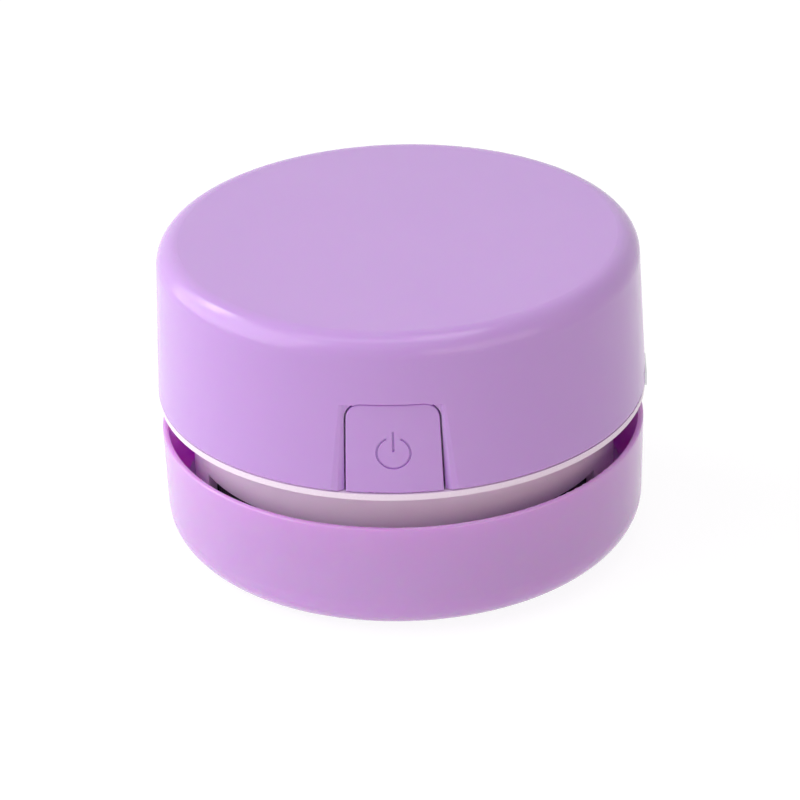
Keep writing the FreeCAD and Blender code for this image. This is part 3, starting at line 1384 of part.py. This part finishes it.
def lead(label, places):
    """An insulated lead through the places: straight runs joined by arcs as large as the runs allow."""
    points = [FreeCAD.Vector(*(as_size(item).number for item in place)) for place in places]
    radius = size("lead_radius").number
    edges = []
    start = points[0]
    for before, corner, after in zip(points, points[1:], points[2:]):
        arrive = (corner - before).normalize()
        leave = (after - corner).normalize()
        half_turn = arrive.getAngle(leave) / 2
        trim = LEAD_ARC_SHARE * min((corner - before).Length, (after - corner).Length)
        bend = trim / tan(half_turn)
        arc_start = corner - arrive * trim
        arc_end = corner + leave * trim
        to_middle = (leave - arrive).normalize() * bend * (1 / cos(half_turn) - 1)
        edges.append(Part.LineSegment(start, arc_start).toShape())
        edges.append(Part.Arc(arc_start, corner + to_middle, arc_end).toShape())
        print(f"{label}: bend radius {bend:.1f}")
        start = arc_end
    edges.append(Part.LineSegment(start, points[-1]).toShape())
    path = Part.Wire(edges)
    ring = Part.Wire(Part.Circle(points[0], points[1] - points[0], radius).toShape())
    item = doc.addObject("Part::Feature", label)
    item.Label = label
    item.Shape = path.makePipeShell([ring], True, False)
    expected = pi * radius * radius * path.Length
    if abs(item.Shape.Volume / expected - 1) > 0.01:
        raise ValueError(f"{label}: its volume is not its section times its length")
    return keep(item)


def motor_leads():
    """Red and black leads from the motor's terminals to the board."""
    reach = size("terminal_reach")
    clear = size("shaft_clearance")
    start = reach + size("terminal_thickness") / 2 + clear
    height = MOTOR_TOP + size("terminal_height") - size("lead_radius")
    down = CRADLE_OUTSIDE + size("lead_radius") * 6
    x, y = around(down, RED_LEAD_AZIMUTH)
    lead("motor_lead_red", [
        (start, 0, height), (start + reach, y / 8, height), (x * 0.96, y * 0.9, MOTOR_TOP),
        (x, y, CAN_TOP - reach), (x, y, BOARD_TOP),
    ])
    x, y = around(down, BLACK_LEAD_AZIMUTH)
    side = size("terminal_width") / 2 + clear
    lead("motor_lead_black", [
        (-reach, -side, height), (-reach, -reach, height), (0, y * 0.84, height),
        (x * 0.95, y * 0.97, MOTOR_TOP - clear), (x, y, CAN_TOP - reach), (x, y, BOARD_TOP),
    ])


def battery_leads():
    """Red and black leads from the cell's tabs to the board."""
    side = CELL_HALF + size("tab_thickness") + size("shaft_clearance") + size("lead_radius")
    start = CELL_BACK - CELL_RADIUS * TAB_REACH_SHARE + size("overrun")
    rise = size("lead_radius") * 4
    x, y = around(BOARD_INNER_RADIUS + size("boss_wall") * 8, 98)
    lead("battery_lead_red", [
        (side, start, CELL_HEIGHT), (side, y + size("lead_radius") * 9, CELL_HEIGHT + rise),
        (x, y, CELL_HEIGHT + rise * 2), (x, y, BOARD_TOP),
    ])
    x, y = around(BOARD_INNER_RADIUS + size("boss_wall") * 4, -14)
    lead("battery_lead_black", [
        (-side, start, CELL_HEIGHT), (-side, start / 2, CELL_HEIGHT),
        (-side, y * 0.3, CELL_HEIGHT + rise / 2), (x * 2.2, y * 0.8, CELL_HEIGHT + rise * 2),
        (x, y, CELL_HEIGHT + rise * 2), (x, y, BOARD_TOP),
    ])


# Azimuths at which the motor's leads meet the board
RED_LEAD_AZIMUTH = 66
BLACK_LEAD_AZIMUTH = 32

# Azimuth, place across the board, length, width and height as shares.
BOARD_PART_SHARES = (
    (84.0, 0.55, 0.62, 0.5, 0.2),
    (28.0, 0.42, 0.5, 0.5, 0.3),
    (95.0, 0.8, 0.4, 0.2, 0.17),
    (56.0, 0.35, 0.25, 0.16, 0.08),
    (60.0, 0.72, 0.25, 0.16, 0.08),
)


def build():
    """Makes every piece."""
    dust_cup()
    centre_plate()
    cup_seat()
    glide_feet()
    seal_ring()
    intake_nozzle()
    brush_ring()
    brush_tufts()
    nozzle_screws()
    white_ring()
    filter_skirt()
    fan_deck()
    motor_cradle()
    board_standoffs()
    battery_tray()
    filter_frame()
    filter_mesh()
    top_shell()
    bite = size("deck_thickness") + size("shell_screw_bite")
    screws("shell_screws", SHELL_POSTS, DECK_UNDERSIDE, bite, False)
    power_button()
    switch_plunger()
    motor_can()
    motor_end_cap()
    motor_bushes()
    motor_magnets()
    motor_brushes()
    motor_terminals()
    motor_sleeve()
    motor_bite = size("deck_thickness") + size("can_wall")
    screws("motor_screws", MOTOR_SCREWS, DECK_UNDERSIDE, motor_bite, False)
    motor_shaft()
    armature_windings(armature_core())
    commutator()
    impeller()
    battery_cell()
    battery_tabs()
    battery_pad()
    battery_clamp()
    screws("clamp_screws", CLAMP_POSTS, CLAMP_TOP, size("clamp_thickness") + size("clamp_screw_bite"), True)
    circuit_board()
    board_parts()
    screws("board_screws", STANDOFFS, BOARD_TOP, size("board_thickness") + size("board_screw_bite"), True)
    switch_housing()
    charging_socket()
    socket_tongue()
    motor_leads()
    battery_leads()


def check():
    """Stops if an object failed, a cut took nothing away or a piece is not a valid solid."""
    doc.recompute()
    for item in doc.Objects:
        if "Invalid" in item.State or "Error" in item.State:
            raise ValueError(f"{item.Name} failed: {item.State}")
    for before, after in cuts:
        if after.Shape.Volume > before.Shape.Volume * (1 - 1e-9):
            raise ValueError(f"{after.Name} cut nothing")
    for piece in pieces:
        if piece.Shape.isNull() or not piece.Shape.isValid() or not piece.Shape.Solids:
            raise ValueError(f"{piece.Label} is not a valid solid")


def write():
    """Writes each piece to its own file."""
    os.makedirs("parts", exist_ok=True)
    for piece in pieces:
        piece.Shape.exportStep(f"parts/{piece.Label}.step")
        box = piece.Shape.BoundBox
        print(f"{piece.Label}: {len(piece.Shape.Solids)} solids, {piece.Shape.Volume:.1f} mm3, "
              f"z {box.ZMin:.2f} to {box.ZMax:.2f}, x {box.XMin:.2f} to {box.XMax:.2f}")


build()
check()
write()
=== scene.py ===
import json
import math
import random
import bpy
import bmesh
from mathutils import Matrix, Quaternion, Vector


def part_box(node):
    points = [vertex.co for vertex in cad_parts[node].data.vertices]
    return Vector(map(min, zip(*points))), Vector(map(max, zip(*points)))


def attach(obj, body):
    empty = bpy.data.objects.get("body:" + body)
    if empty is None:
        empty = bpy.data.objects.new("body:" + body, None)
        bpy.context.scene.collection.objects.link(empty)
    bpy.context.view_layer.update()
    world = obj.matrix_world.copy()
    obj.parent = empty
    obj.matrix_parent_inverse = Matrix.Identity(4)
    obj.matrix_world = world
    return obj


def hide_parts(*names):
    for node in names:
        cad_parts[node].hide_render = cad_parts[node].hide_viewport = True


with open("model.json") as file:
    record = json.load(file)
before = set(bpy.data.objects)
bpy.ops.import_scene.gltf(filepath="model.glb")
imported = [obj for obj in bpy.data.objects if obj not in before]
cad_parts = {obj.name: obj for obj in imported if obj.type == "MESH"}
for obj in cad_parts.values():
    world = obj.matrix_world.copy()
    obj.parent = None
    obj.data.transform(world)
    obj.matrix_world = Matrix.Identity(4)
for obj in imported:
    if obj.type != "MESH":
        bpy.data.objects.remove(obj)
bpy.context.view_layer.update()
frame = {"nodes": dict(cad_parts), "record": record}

MM = 0.001


# Camera, fitted to the photograph

PHOTO_PIXELS = 800
FOCAL_PIXELS = 3476
SENSOR = 36.0
AIM_HEIGHT = 31.2 * MM
CAMERA_DISTANCE = 606.0 * MM
CAMERA_AZIMUTH = 2.4
CAMERA_ELEVATION = 26.77
AIM_PIXEL = (402.5, 363.5)
CAMERA_ROLL = 1.83
NEAREST = 10 * MM
FARTHEST = 20000 * MM


def make_camera():
    """A camera that sees the object at the angle, size and place of the photograph."""
    azimuth = math.radians(CAMERA_AZIMUTH)
    elevation = math.radians(CAMERA_ELEVATION)
    back = Vector((math.sin(azimuth) * math.cos(elevation), -math.cos(azimuth) * math.cos(elevation),
                   math.sin(elevation)))
    camera = bpy.data.cameras.new("camera")
    camera.sensor_width = SENSOR
    camera.lens = FOCAL_PIXELS / PHOTO_PIXELS * SENSOR
    camera.clip_start = NEAREST
    camera.clip_end = FARTHEST
    item = bpy.data.objects.new("camera", camera)
    bpy.context.scene.collection.objects.link(item)
    look = (-back).to_track_quat("-Z", "Y").to_matrix()
    roll = math.radians(CAMERA_ROLL)
    turn = Matrix.Rotation(-roll, 3, "Z")
    # The aim point shows above and right of the picture's middle, so the camera tilts down and left.
    right = (AIM_PIXEL[0] - PHOTO_PIXELS / 2) / FOCAL_PIXELS
    up = (PHOTO_PIXELS / 2 - AIM_PIXEL[1]) / FOCAL_PIXELS
    tilt = Matrix.Rotation(-math.atan(up), 3, "X") @ Matrix.Rotation(math.atan(right), 3, "Y")
    place = Vector((0, 0, AIM_HEIGHT)) + back * CAMERA_DISTANCE
    item.matrix_world = Matrix.Translation(place) @ (look @ tilt @ turn).to_4x4()
    bpy.context.scene.camera = item


# Light, floor and background

WHITE = (1, 1, 1, 1)
BACKGROUND = 1.0
AMBIENT = 0.28
FLOOR_HALF = 900 * MM
FLOOR_BOUNCE = 0.9
FLOOR_DIFFUSE = 0.22
FLOOR_GLOW = 0.89

# Places, aims and sizes are in metres, powers in watts and turns in degrees.
# key lights the left side, and glint is the bright spot on the shoulder, so it stands in front of key.
# top and brow hang over the top and its front edge, and streak makes the short pale streak on that edge.
# front is a warm and weaker light from the right.
LAMPS = {
    "key": dict(place=(-0.86, -0.075, 0.46), aim=(0, 0, 0.03), size=(1.5, 1.0), power=9.2),
    "glint": dict(place=(-0.455, 0.205, 0.475), aim=(-0.03, -0.03, 0.05), size=(0.24, 0.11),
                  power=0.42, turn=-38),
    "top": dict(place=(-0.03, -0.18, 0.35), aim=(0, 0, 0.05), size=(0.40, 0.30), power=0.10),
    "brow": dict(place=(-0.03, -0.09, 0.31), aim=(-0.03, -0.09, 0.05), size=(0.30, 0.09), power=0.09),
    "streak": dict(place=(0.058, -0.025, 0.298), aim=(0.011, -0.040, 0.053), size=(0.09, 0.085),
                   power=0.05),
    "front": dict(place=(0.62, -0.75, 0.28), aim=(0, 0, 0.03), size=(1.0, 0.5), power=1.85,
                  colour=(1.0, 0.84, 0.76)),
}


def area_light(name, place, aim, size, power, colour=(1, 1, 1), turn=0):
    """A rectangular lamp that faces its aim and is turned about its own axis."""
    lamp = bpy.data.lights.new(name, "AREA")
    lamp.shape = "RECTANGLE"
    lamp.size, lamp.size_y = size
    lamp.energy = power
    lamp.color = colour
    item = bpy.data.objects.new(name, lamp)
    item.location = place
    facing = (Vector(aim) - Vector(place)).to_track_quat("-Z", "Y")
    item.rotation_mode = "QUATERNION"
    item.rotation_quaternion = facing @ Quaternion((0, 0, 1), math.radians(turn))
    item.visible_camera = False
    bpy.context.scene.collection.objects.link(item)


def seen_directly(tree):
    """A value that is 1 for what the camera sees straight, in a reflection or through glass."""
    path = tree.nodes.new("ShaderNodeLightPath")
    first = tree.nodes.new("ShaderNodeMath")
    first.operation = "ADD"
    first.use_clamp = True
    tree.links.new(path.outputs["Is Camera Ray"], first.inputs[0])
    tree.links.new(path.outputs["Is Glossy Ray"], first.inputs[1])
    second = tree.nodes.new("ShaderNodeMath")
    second.operation = "ADD"
    second.use_clamp = True
    tree.links.new(first.outputs[0], second.inputs[0])
    tree.links.new(path.outputs["Is Transmission Ray"], second.inputs[1])
    return second.outputs[0]


def make_world():
    """White where it is seen, and a softer even light on the object."""
    world = bpy.data.worlds.new("studio")
    world.use_nodes = True
    tree = world.node_tree
    tree.nodes.clear()
    lit = tree.nodes.new("ShaderNodeBackground")
    lit.inputs["Color"].default_value = WHITE
    lit.inputs["Strength"].default_value = AMBIENT
    seen = tree.nodes.new("ShaderNodeBackground")
    seen.inputs["Color"].default_value = WHITE
    seen.inputs["Strength"].default_value = BACKGROUND
    mix = tree.nodes.new("ShaderNodeMixShader")
    tree.links.new(seen_directly(tree), mix.inputs[0])
    tree.links.new(lit.outputs[0], mix.inputs[1])
    tree.links.new(seen.outputs[0], mix.inputs[2])
    out = tree.nodes.new("ShaderNodeOutputWorld")
    tree.links.new(mix.outputs[0], out.inputs["Surface"])
    bpy.context.scene.world = world


def make_floor():
    """A pale floor that shows white and keeps the object's soft shadow."""
    corners = [(x * FLOOR_HALF, y * FLOOR_HALF, 0) for x, y in ((-1, -1), (1, -1), (1, 1), (-1, 1))]
    mesh = bpy.data.meshes.new("floor")
    mesh.from_pydata(corners, [], [(0, 1, 2, 3)])
    floor = bpy.data.objects.new("floor", mesh)
    bpy.context.scene.collection.objects.link(floor)
    material = bpy.data.materials.new("floor")
    material.use_nodes = True
    tree = material.node_tree
    tree.nodes.clear()
    plain = tree.nodes.new("ShaderNodeBsdfDiffuse")
    plain.inputs["Color"].default_value = (FLOOR_BOUNCE, FLOOR_BOUNCE, FLOOR_BOUNCE, 1)
    seen = tree.nodes.new("ShaderNodeBsdfDiffuse")
    seen.inputs["Color"].default_value = (FLOOR_DIFFUSE, FLOOR_DIFFUSE, FLOOR_DIFFUSE, 1)
    glow = tree.nodes.new("ShaderNodeEmission")
    glow.inputs["Strength"].default_value = FLOOR_GLOW
    both = tree.nodes.new("ShaderNodeAddShader")
    tree.links.new(seen.outputs[0], both.inputs[0])
    tree.links.new(glow.outputs[0], both.inputs[1])
    mix = tree.nodes.new("ShaderNodeMixShader")
    tree.links.new(seen_directly(tree), mix.inputs[0])
    tree.links.new(plain.outputs[0], mix.inputs[1])
    tree.links.new(both.outputs[0], mix.inputs[2])
    out = tree.nodes.new("ShaderNodeOutputMaterial")
    tree.links.new(mix.outputs[0], out.inputs["Surface"])
    mesh.materials.append(material)


# Materials

# A noise texture's values lie mostly between these two.
NOISE_LOW = 0.3
NOISE_HIGH = 0.7
DRIFT_DETAIL = 3
GRAIN_DETAIL = 4
GRAIN_ROUGHNESS = 0.6
GLOSS_SWING_SHARE = 0.1
COAT_ROUGHNESS = 0.1


def linear(red, green, blue):
    """A screen colour of 0 to 255 as the linear colour that a shader takes, by the standard curve."""
    steps = []
    for value in (red, green, blue):
        share = value / 255
        steps.append(share / 12.92 if share <= 0.04045 else ((share + 0.055) / 1.055) ** 2.4)
    return (*steps, 1.0)


def noise(tree, where, scale, detail, roughness=0.5):
    """A noise texture's value, at features of about 1/scale metres."""
    node = tree.nodes.new("ShaderNodeTexNoise")
    node.inputs["Scale"].default_value = scale
    node.inputs["Detail"].default_value = detail
    node.inputs["Roughness"].default_value = roughness
    tree.links.new(where, node.inputs["Vector"])
    return node.outputs["Fac"]


def spread(tree, value, low, high):
    """Maps the middle of a 0 to 1 value onto low to high."""
    node = tree.nodes.new("ShaderNodeMapRange")
    node.inputs["From Min"].default_value = NOISE_LOW
    node.inputs["From Max"].default_value = NOISE_HIGH
    node.inputs["To Min"].default_value = low
    node.inputs["To Max"].default_value = high
    tree.links.new(value, node.inputs["Value"])
    return node.outputs["Result"]


def stretched(tree, stretch):
    """Object coordinates in metres, stretched along the axes."""
    coordinates = tree.nodes.new("ShaderNodeTexCoord")
    mapping = tree.nodes.new("ShaderNodeMapping")
    mapping.inputs["Scale"].default_value = stretch
    tree.links.new(coordinates.outputs["Object"], mapping.inputs["Vector"])
    return mapping.outputs["Vector"]


def make_material(name, tone, other_tone, rough, metallic=0.0, ior=1.5, coat=0.0, sheen=0.0, blotch=40,
                  grain=2500, depth=0.004, stretch=(1, 1, 1), glow=0.0, glow_reach=(1, 1, 1)):
    """A surface whose colour drifts between two tones, with a fine grain in its gloss and relief.

    blotch and grain are the sizes of drift and grain, as features in a metre; depth is in millimetres.
    glow is how much light passes into the surface, and glow_reach how far red, green and blue go there, in
    millimetres.
    """
    material = bpy.data.materials.new(name)
    material.use_nodes = True
    tree = material.node_tree
    shader = tree.nodes["Principled BSDF"]
    shader.inputs["Metallic"].default_value = metallic
    shader.inputs["IOR"].default_value = ior
    shader.inputs["Coat Weight"].default_value = coat
    shader.inputs["Coat Roughness"].default_value = COAT_ROUGHNESS
    shader.inputs["Sheen Weight"].default_value = sheen
    shader.inputs["Subsurface Weight"].default_value = glow
    shader.inputs["Subsurface Radius"].default_value = glow_reach
    shader.inputs["Subsurface Scale"].default_value = MM
    where = stretched(tree, stretch)
    mix = tree.nodes.new("ShaderNodeMix")
    mix.data_type = "RGBA"
    mix.inputs["A"].default_value = linear(*tone)
    mix.inputs["B"].default_value = linear(*other_tone)
    tree.links.new(spread(tree, noise(tree, where, blotch, DRIFT_DETAIL), 0.0, 1.0), mix.inputs["Factor"])
    tree.links.new(mix.outputs["Result"], shader.inputs["Base Color"])
    fine = noise(tree, where, grain, GRAIN_DETAIL, GRAIN_ROUGHNESS)
    gloss = spread(tree, fine, rough * (1 - GLOSS_SWING_SHARE), rough * (1 + GLOSS_SWING_SHARE))
    tree.links.new(gloss, shader.inputs["Roughness"])
    bump = tree.nodes.new("ShaderNodeBump")
    bump.inputs["Strength"].default_value = 1.0
    bump.inputs["Distance"].default_value = depth * MM
    tree.links.new(fine, bump.inputs["Height"])
    tree.links.new(bump.outputs["Normal"], shader.inputs["Normal"])
    return material


UPPER_LILAC = dict(tone=(204, 160, 229), other_tone=(206, 162, 230), rough=0.17, depth=0.0008, glow=0.6,
                   glow_reach=(0.6, 0.2, 0.5))

SURFACES = {
    "shell_lilac": UPPER_LILAC,
    "button_lilac": UPPER_LILAC,
    "cup_lilac": dict(tone=(209, 163, 228), other_tone=(211, 165, 230), rough=0.17, depth=0.0008,
                      glow=1.0, glow_reach=(3.0, 0.8, 2.2)),
    "frame_white": dict(tone=(252, 234, 253), other_tone=(254, 237, 254), rough=0.26, depth=0.0008),
    # The skirt's tone is the ring's white with painted shade: duller, for the shade of the shell and cup
    # around it.
    "skirt_white_painted_shade": dict(tone=(247, 219, 243), other_tone=(249, 222, 245), rough=0.30, depth=0.0008,
                        glow=0.6, glow_reach=(2.5, 1.5, 2.2)),
    "nozzle_white": dict(tone=(228, 221, 229), other_tone=(232, 225, 232), rough=0.42, depth=0.01),
    "clear_grey_rubber": dict(tone=(160, 154, 160), other_tone=(168, 162, 168), rough=0.62,
                              depth=0.02, ior=1.4),
    "black_rubber": dict(tone=(26, 25, 27), other_tone=(32, 31, 33), rough=0.65, depth=0.02, ior=1.4),
    "bristle_black": dict(tone=(30, 27, 31), other_tone=(42, 38, 43), rough=0.38, depth=0.002),
    "filter_black": dict(tone=(24, 18, 27), other_tone=(30, 24, 33), rough=0.42, depth=0.01),
    "filter_cloth": dict(tone=(16, 10, 20), other_tone=(26, 19, 30), rough=0.85, depth=0.03, sheen=0.15),
    "screw_steel": dict(tone=(168, 169, 173), other_tone=(182, 183, 187), rough=0.30, metallic=1.0,
                        depth=0.003),
    "motor_steel": dict(tone=(176, 177, 180), other_tone=(188, 189, 192), rough=0.32, metallic=1.0,
                        stretch=(1, 1, 12), depth=0.004),
    "shaft_steel": dict(tone=(196, 197, 200), other_tone=(206, 207, 210), rough=0.20, metallic=1.0,
                        depth=0.001),
    "core_steel": dict(tone=(112, 112, 116), other_tone=(128, 128, 132), rough=0.45, metallic=1.0,
                       stretch=(1, 1, 25), depth=0.02),
    "cap_black": dict(tone=(28, 28, 31), other_tone=(34, 34, 37), rough=0.45, depth=0.01),
    "bush_bronze": dict(tone=(184, 142, 86), other_tone=(170, 128, 76), rough=0.42, metallic=1.0,
                        depth=0.01),
    "terminal_brass": dict(tone=(210, 178, 100), other_tone=(198, 164, 90), rough=0.30,
                           metallic=1.0, depth=0.003),
    "winding_copper": dict(tone=(188, 104, 58), other_tone=(168, 88, 46), rough=0.32, metallic=1.0,
                           coat=0.5, stretch=(1, 1, 14), depth=0.03),
    "magnet_dark": dict(tone=(44, 44, 47), other_tone=(54, 54, 57), rough=0.55, metallic=0.6,
                        depth=0.01),
    "cell_blue": dict(tone=(66, 142, 158), other_tone=(58, 132, 148), rough=0.24, depth=0.008),
    "tab_nickel": dict(tone=(184, 181, 172), other_tone=(196, 193, 184), rough=0.30, metallic=1.0,
                       depth=0.004),
    "board_green": dict(tone=(26, 92, 52), other_tone=(34, 108, 62), rough=0.28, blotch=900, depth=0.01),
    "part_black": dict(tone=(20, 20, 22), other_tone=(27, 27, 29), rough=0.45, depth=0.01),
    "plunger_white": dict(tone=(224, 224, 219), other_tone=(230, 230, 225), rough=0.38),
    "socket_metal": dict(tone=(200, 200, 204), other_tone=(210, 210, 214), rough=0.16,
                         metallic=1.0, depth=0.001),
    "lead_red": dict(tone=(178, 26, 22), other_tone=(188, 34, 30), rough=0.35),
    "lead_black": dict(tone=(18, 18, 18), other_tone=(24, 24, 24), rough=0.35),
    "fan_grey": dict(tone=(205, 202, 209), other_tone=(211, 208, 214), rough=0.40, depth=0.01),
}


# The skirt shares the ring's slot, but its tone is a shade duller, which is painted shade from the shell
# and cup around it, and it lets more light in.
OWN_SURFACE = {"filter_skirt": "skirt_white_painted_shade"}


def dress_cad_nodes(materials):
    """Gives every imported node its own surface, or else that of its slot."""
    for part in frame["record"]["subparts"]:
        item = frame["nodes"][part["node"]]
        item.data.materials.clear()
        item.data.materials.append(materials[OWN_SURFACE.get(part["node"], part["material_slot"])])


def new_piece(name, mesh, body, material, replaced=()):
    """Adds a mesh as a piece that rides on a body."""
    mesh.materials.append(material)
    item = bpy.data.objects.new(name, mesh)
    bpy.context.scene.collection.objects.link(item)
    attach(item, body)
    if replaced:
        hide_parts(*replaced)
    return item


def finished(shape, name):
    """A smooth mesh from the bmesh, its faces turned outwards."""
    bmesh.ops.recalc_face_normals(shape, faces=shape.faces)
    mesh = bpy.data.meshes.new(name)
    shape.to_mesh(mesh)
    shape.free()
    mesh.polygons.foreach_set("use_smooth", [True] * len(mesh.polygons))
    return mesh


# Bristles

TUFTS = 26
TUFT_CIRCLE = 12.8 * MM
TUFT_RADIUS = 0.75 * MM
BRISTLES_IN_TUFT = 30
BRISTLE_RADIUS = 0.06 * MM
BRISTLE_SIDES = 5
BRISTLE_SEED = 7
# A bristle's radius at its foot, at two points between and at its tip.
TAPER_SHARES = (1.0, 1.0, 0.9, 0.6)
# The feet fill this share of a tuft's radius, each turned from the last by the golden angle.
FEET_SHARE = 0.85
GOLDEN_ANGLE = 2.39996
# A tip stands out from its tuft's middle by this share more than its foot does, and leans away from the
# brush's middle by up to TIP_LEAN. It ends up to TIP_UNEVENNESS above the lowest point of the tufts.
SPLAY_SHARE = 0.5
TIP_LEAN = 0.25 * MM
TIP_UNEVENNESS = 0.12 * MM


def tube(shape, points, radii, sides):
    """A closed thin tube through points, with a radius at each."""
    rings = []
    for index, point in enumerate(points):
        before = points[max(index - 1, 0)]
        after = points[min(index + 1, len(points) - 1)]
        along = (after - before).normalized()
        side = along.orthogonal().normalized()
        other = along.cross(side)
        ring = []
        for step in range(sides):
            angle = 2 * math.pi * step / sides
            outwards = side * math.cos(angle) + other * math.sin(angle)
            ring.append(shape.verts.new(point + outwards * radii[index]))
        rings.append(ring)
    for first, second in zip(rings, rings[1:]):
        for step in range(sides):
            following = (step + 1) % sides
            shape.faces.new((first[step], first[following], second[following], second[step]))
    shape.faces.new(list(reversed(rings[0])))
    shape.faces.new(rings[-1])


def make_bristles(materials):
    """Fine bristles in place of the solid tufts, splayed a little towards their tips."""
    low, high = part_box("brush_tufts")
    draw = random.Random(BRISTLE_SEED)
    shape = bmesh.new()
    for tuft in range(TUFTS):
        angle = 2 * math.pi * tuft / TUFTS
        middle = Vector((TUFT_CIRCLE * math.sin(angle), -TUFT_CIRCLE * math.cos(angle), 0))
        outwards = middle.normalized()
        for number in range(BRISTLES_IN_TUFT):
            # The first bristle stands half a bristle's area from the middle, so all share the area evenly.
            turn = number * GOLDEN_ANGLE
            reach = TUFT_RADIUS * FEET_SHARE * math.sqrt((number + 0.5) / BRISTLES_IN_TUFT)
            foot = middle + Vector((math.cos(turn), math.sin(turn), 0)) * reach
            splay = (foot - middle) * SPLAY_SHARE + outwards * draw.uniform(0.0, TIP_LEAN)
            tip_height = low.z + draw.uniform(0.0, TIP_UNEVENNESS)
            points = []
            for step in range(len(TAPER_SHARES)):
                share = step / (len(TAPER_SHARES) - 1)
                height = high.z + (tip_height - high.z) * share
                points.append(foot + splay * share * share + Vector((0, 0, height)))
            radii = [BRISTLE_RADIUS * share for share in TAPER_SHARES]
            tube(shape, points, radii, BRISTLE_SIDES)
    new_piece("brush_bristles", finished(shape, "brush_bristles"), "base",
              materials["bristle_black"], ["brush_tufts"])


# Filter cloth

CLOTH_DEPTH = 0.25 * MM
CLOTH_THREAD = 0.10 * MM
THREAD_SIDES = 4
CLOTH_COLUMNS = 240
CLOTH_ROWS = 26
# Points of a thread for each thread that it crosses.
CROSSING_STEPS = 2
# Shares of a thread's thickness: how far in from the outside its middle runs, and how far it sways.
MIDDLE_SHARE = 0.7
SWAY_SHARE = 0.14


def closed_sleeve(shape, inside, outside, foot, top, sides):
    """A thin-walled tube with closed ends of its wall."""
    levels = []
    for radius, height in ((inside, foot), (outside, foot), (outside, top), (inside, top)):
        ring = []
        for step in range(sides):
            angle = 2 * math.pi * step / sides
            ring.append(shape.verts.new((radius * math.cos(angle), radius * math.sin(angle), height)))
        levels.append(ring)
    for index, first in enumerate(levels):
        second = levels[(index + 1) % len(levels)]
        for step in range(sides):
            following = (step + 1) % sides
            shape.faces.new((first[step], first[following], second[following], second[step]))


def upright_thread(shape, column, radius, foot, top):
    """One thread up the sleeve, which dips under and over the threads round it."""
    angle = 2 * math.pi * column / CLOTH_COLUMNS
    points = []
    steps = CLOTH_ROWS * CROSSING_STEPS
    for step in range(steps + 1):
        reach = radius + SWAY_SHARE * CLOTH_THREAD * math.cos(math.pi * (step / CROSSING_STEPS + column))
        height = foot + (top - foot) * step / steps
        points.append(Vector((reach * math.cos(angle), reach * math.sin(angle), height)))
    tube(shape, points, [CLOTH_THREAD / 2] * len(points), THREAD_SIDES)


def round_thread(shape, row, radius, foot, top):
    """One thread round the sleeve."""
    height = foot + (top - foot) * (row + 0.5) / CLOTH_ROWS
    sides = CLOTH_COLUMNS * CROSSING_STEPS
    ring = []
    for step in range(sides):
        angle = 2 * math.pi * step / sides
        middle = radius - SWAY_SHARE * CLOTH_THREAD * math.cos(math.pi * (row + step / CROSSING_STEPS))
        section = []
        for corner in range(THREAD_SIDES):
            turn = 2 * math.pi * corner / THREAD_SIDES
            across = middle + CLOTH_THREAD / 2 * math.cos(turn)
            section.append(shape.verts.new((across * math.cos(angle), across * math.sin(angle),
                                         height + CLOTH_THREAD / 2 * math.sin(turn))))
        ring.append(section)
    for step in range(sides):
        following = ring[(step + 1) % sides]
        for corner in range(THREAD_SIDES):
            other = (corner + 1) % THREAD_SIDES
            shape.faces.new((ring[step][corner], following[corner], following[other], ring[step][other]))


def make_filter_cloth(materials):
    """Woven filter cloth: a thin sleeve with raised threads that cross on its outside."""
    low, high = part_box("filter_mesh")
    outside = high.x
    shape = bmesh.new()
    closed_sleeve(shape, outside - CLOTH_DEPTH, outside - CLOTH_THREAD, low.z, high.z, CLOTH_COLUMNS)
    cloth = new_piece("filter_sleeve", finished(shape, "filter_sleeve"), "head",
                      materials["filter_cloth"], ["filter_mesh"])
    middle = outside - CLOTH_THREAD * MIDDLE_SHARE
    foot = low.z + CLOTH_THREAD
    top = high.z - CLOTH_THREAD
    shape = bmesh.new()
    for column in range(CLOTH_COLUMNS):
        upright_thread(shape, column, middle, foot, top)
    for row in range(CLOTH_ROWS):
        round_thread(shape, row, middle, foot, top)
    threads = new_piece("filter_threads", finished(shape, "filter_threads"), "head",
                        materials["filter_cloth"])


# The picture

make_camera()
make_world()
make_floor()
for name, values in LAMPS.items():
    area_light(name, **values)
materials = {name: make_material(name, **values) for name, values in SURFACES.items()}
dress_cad_nodes(materials)
make_bristles(materials)
make_filter_cloth(materials)

bpy.context.scene.view_settings.view_transform = "Standard"
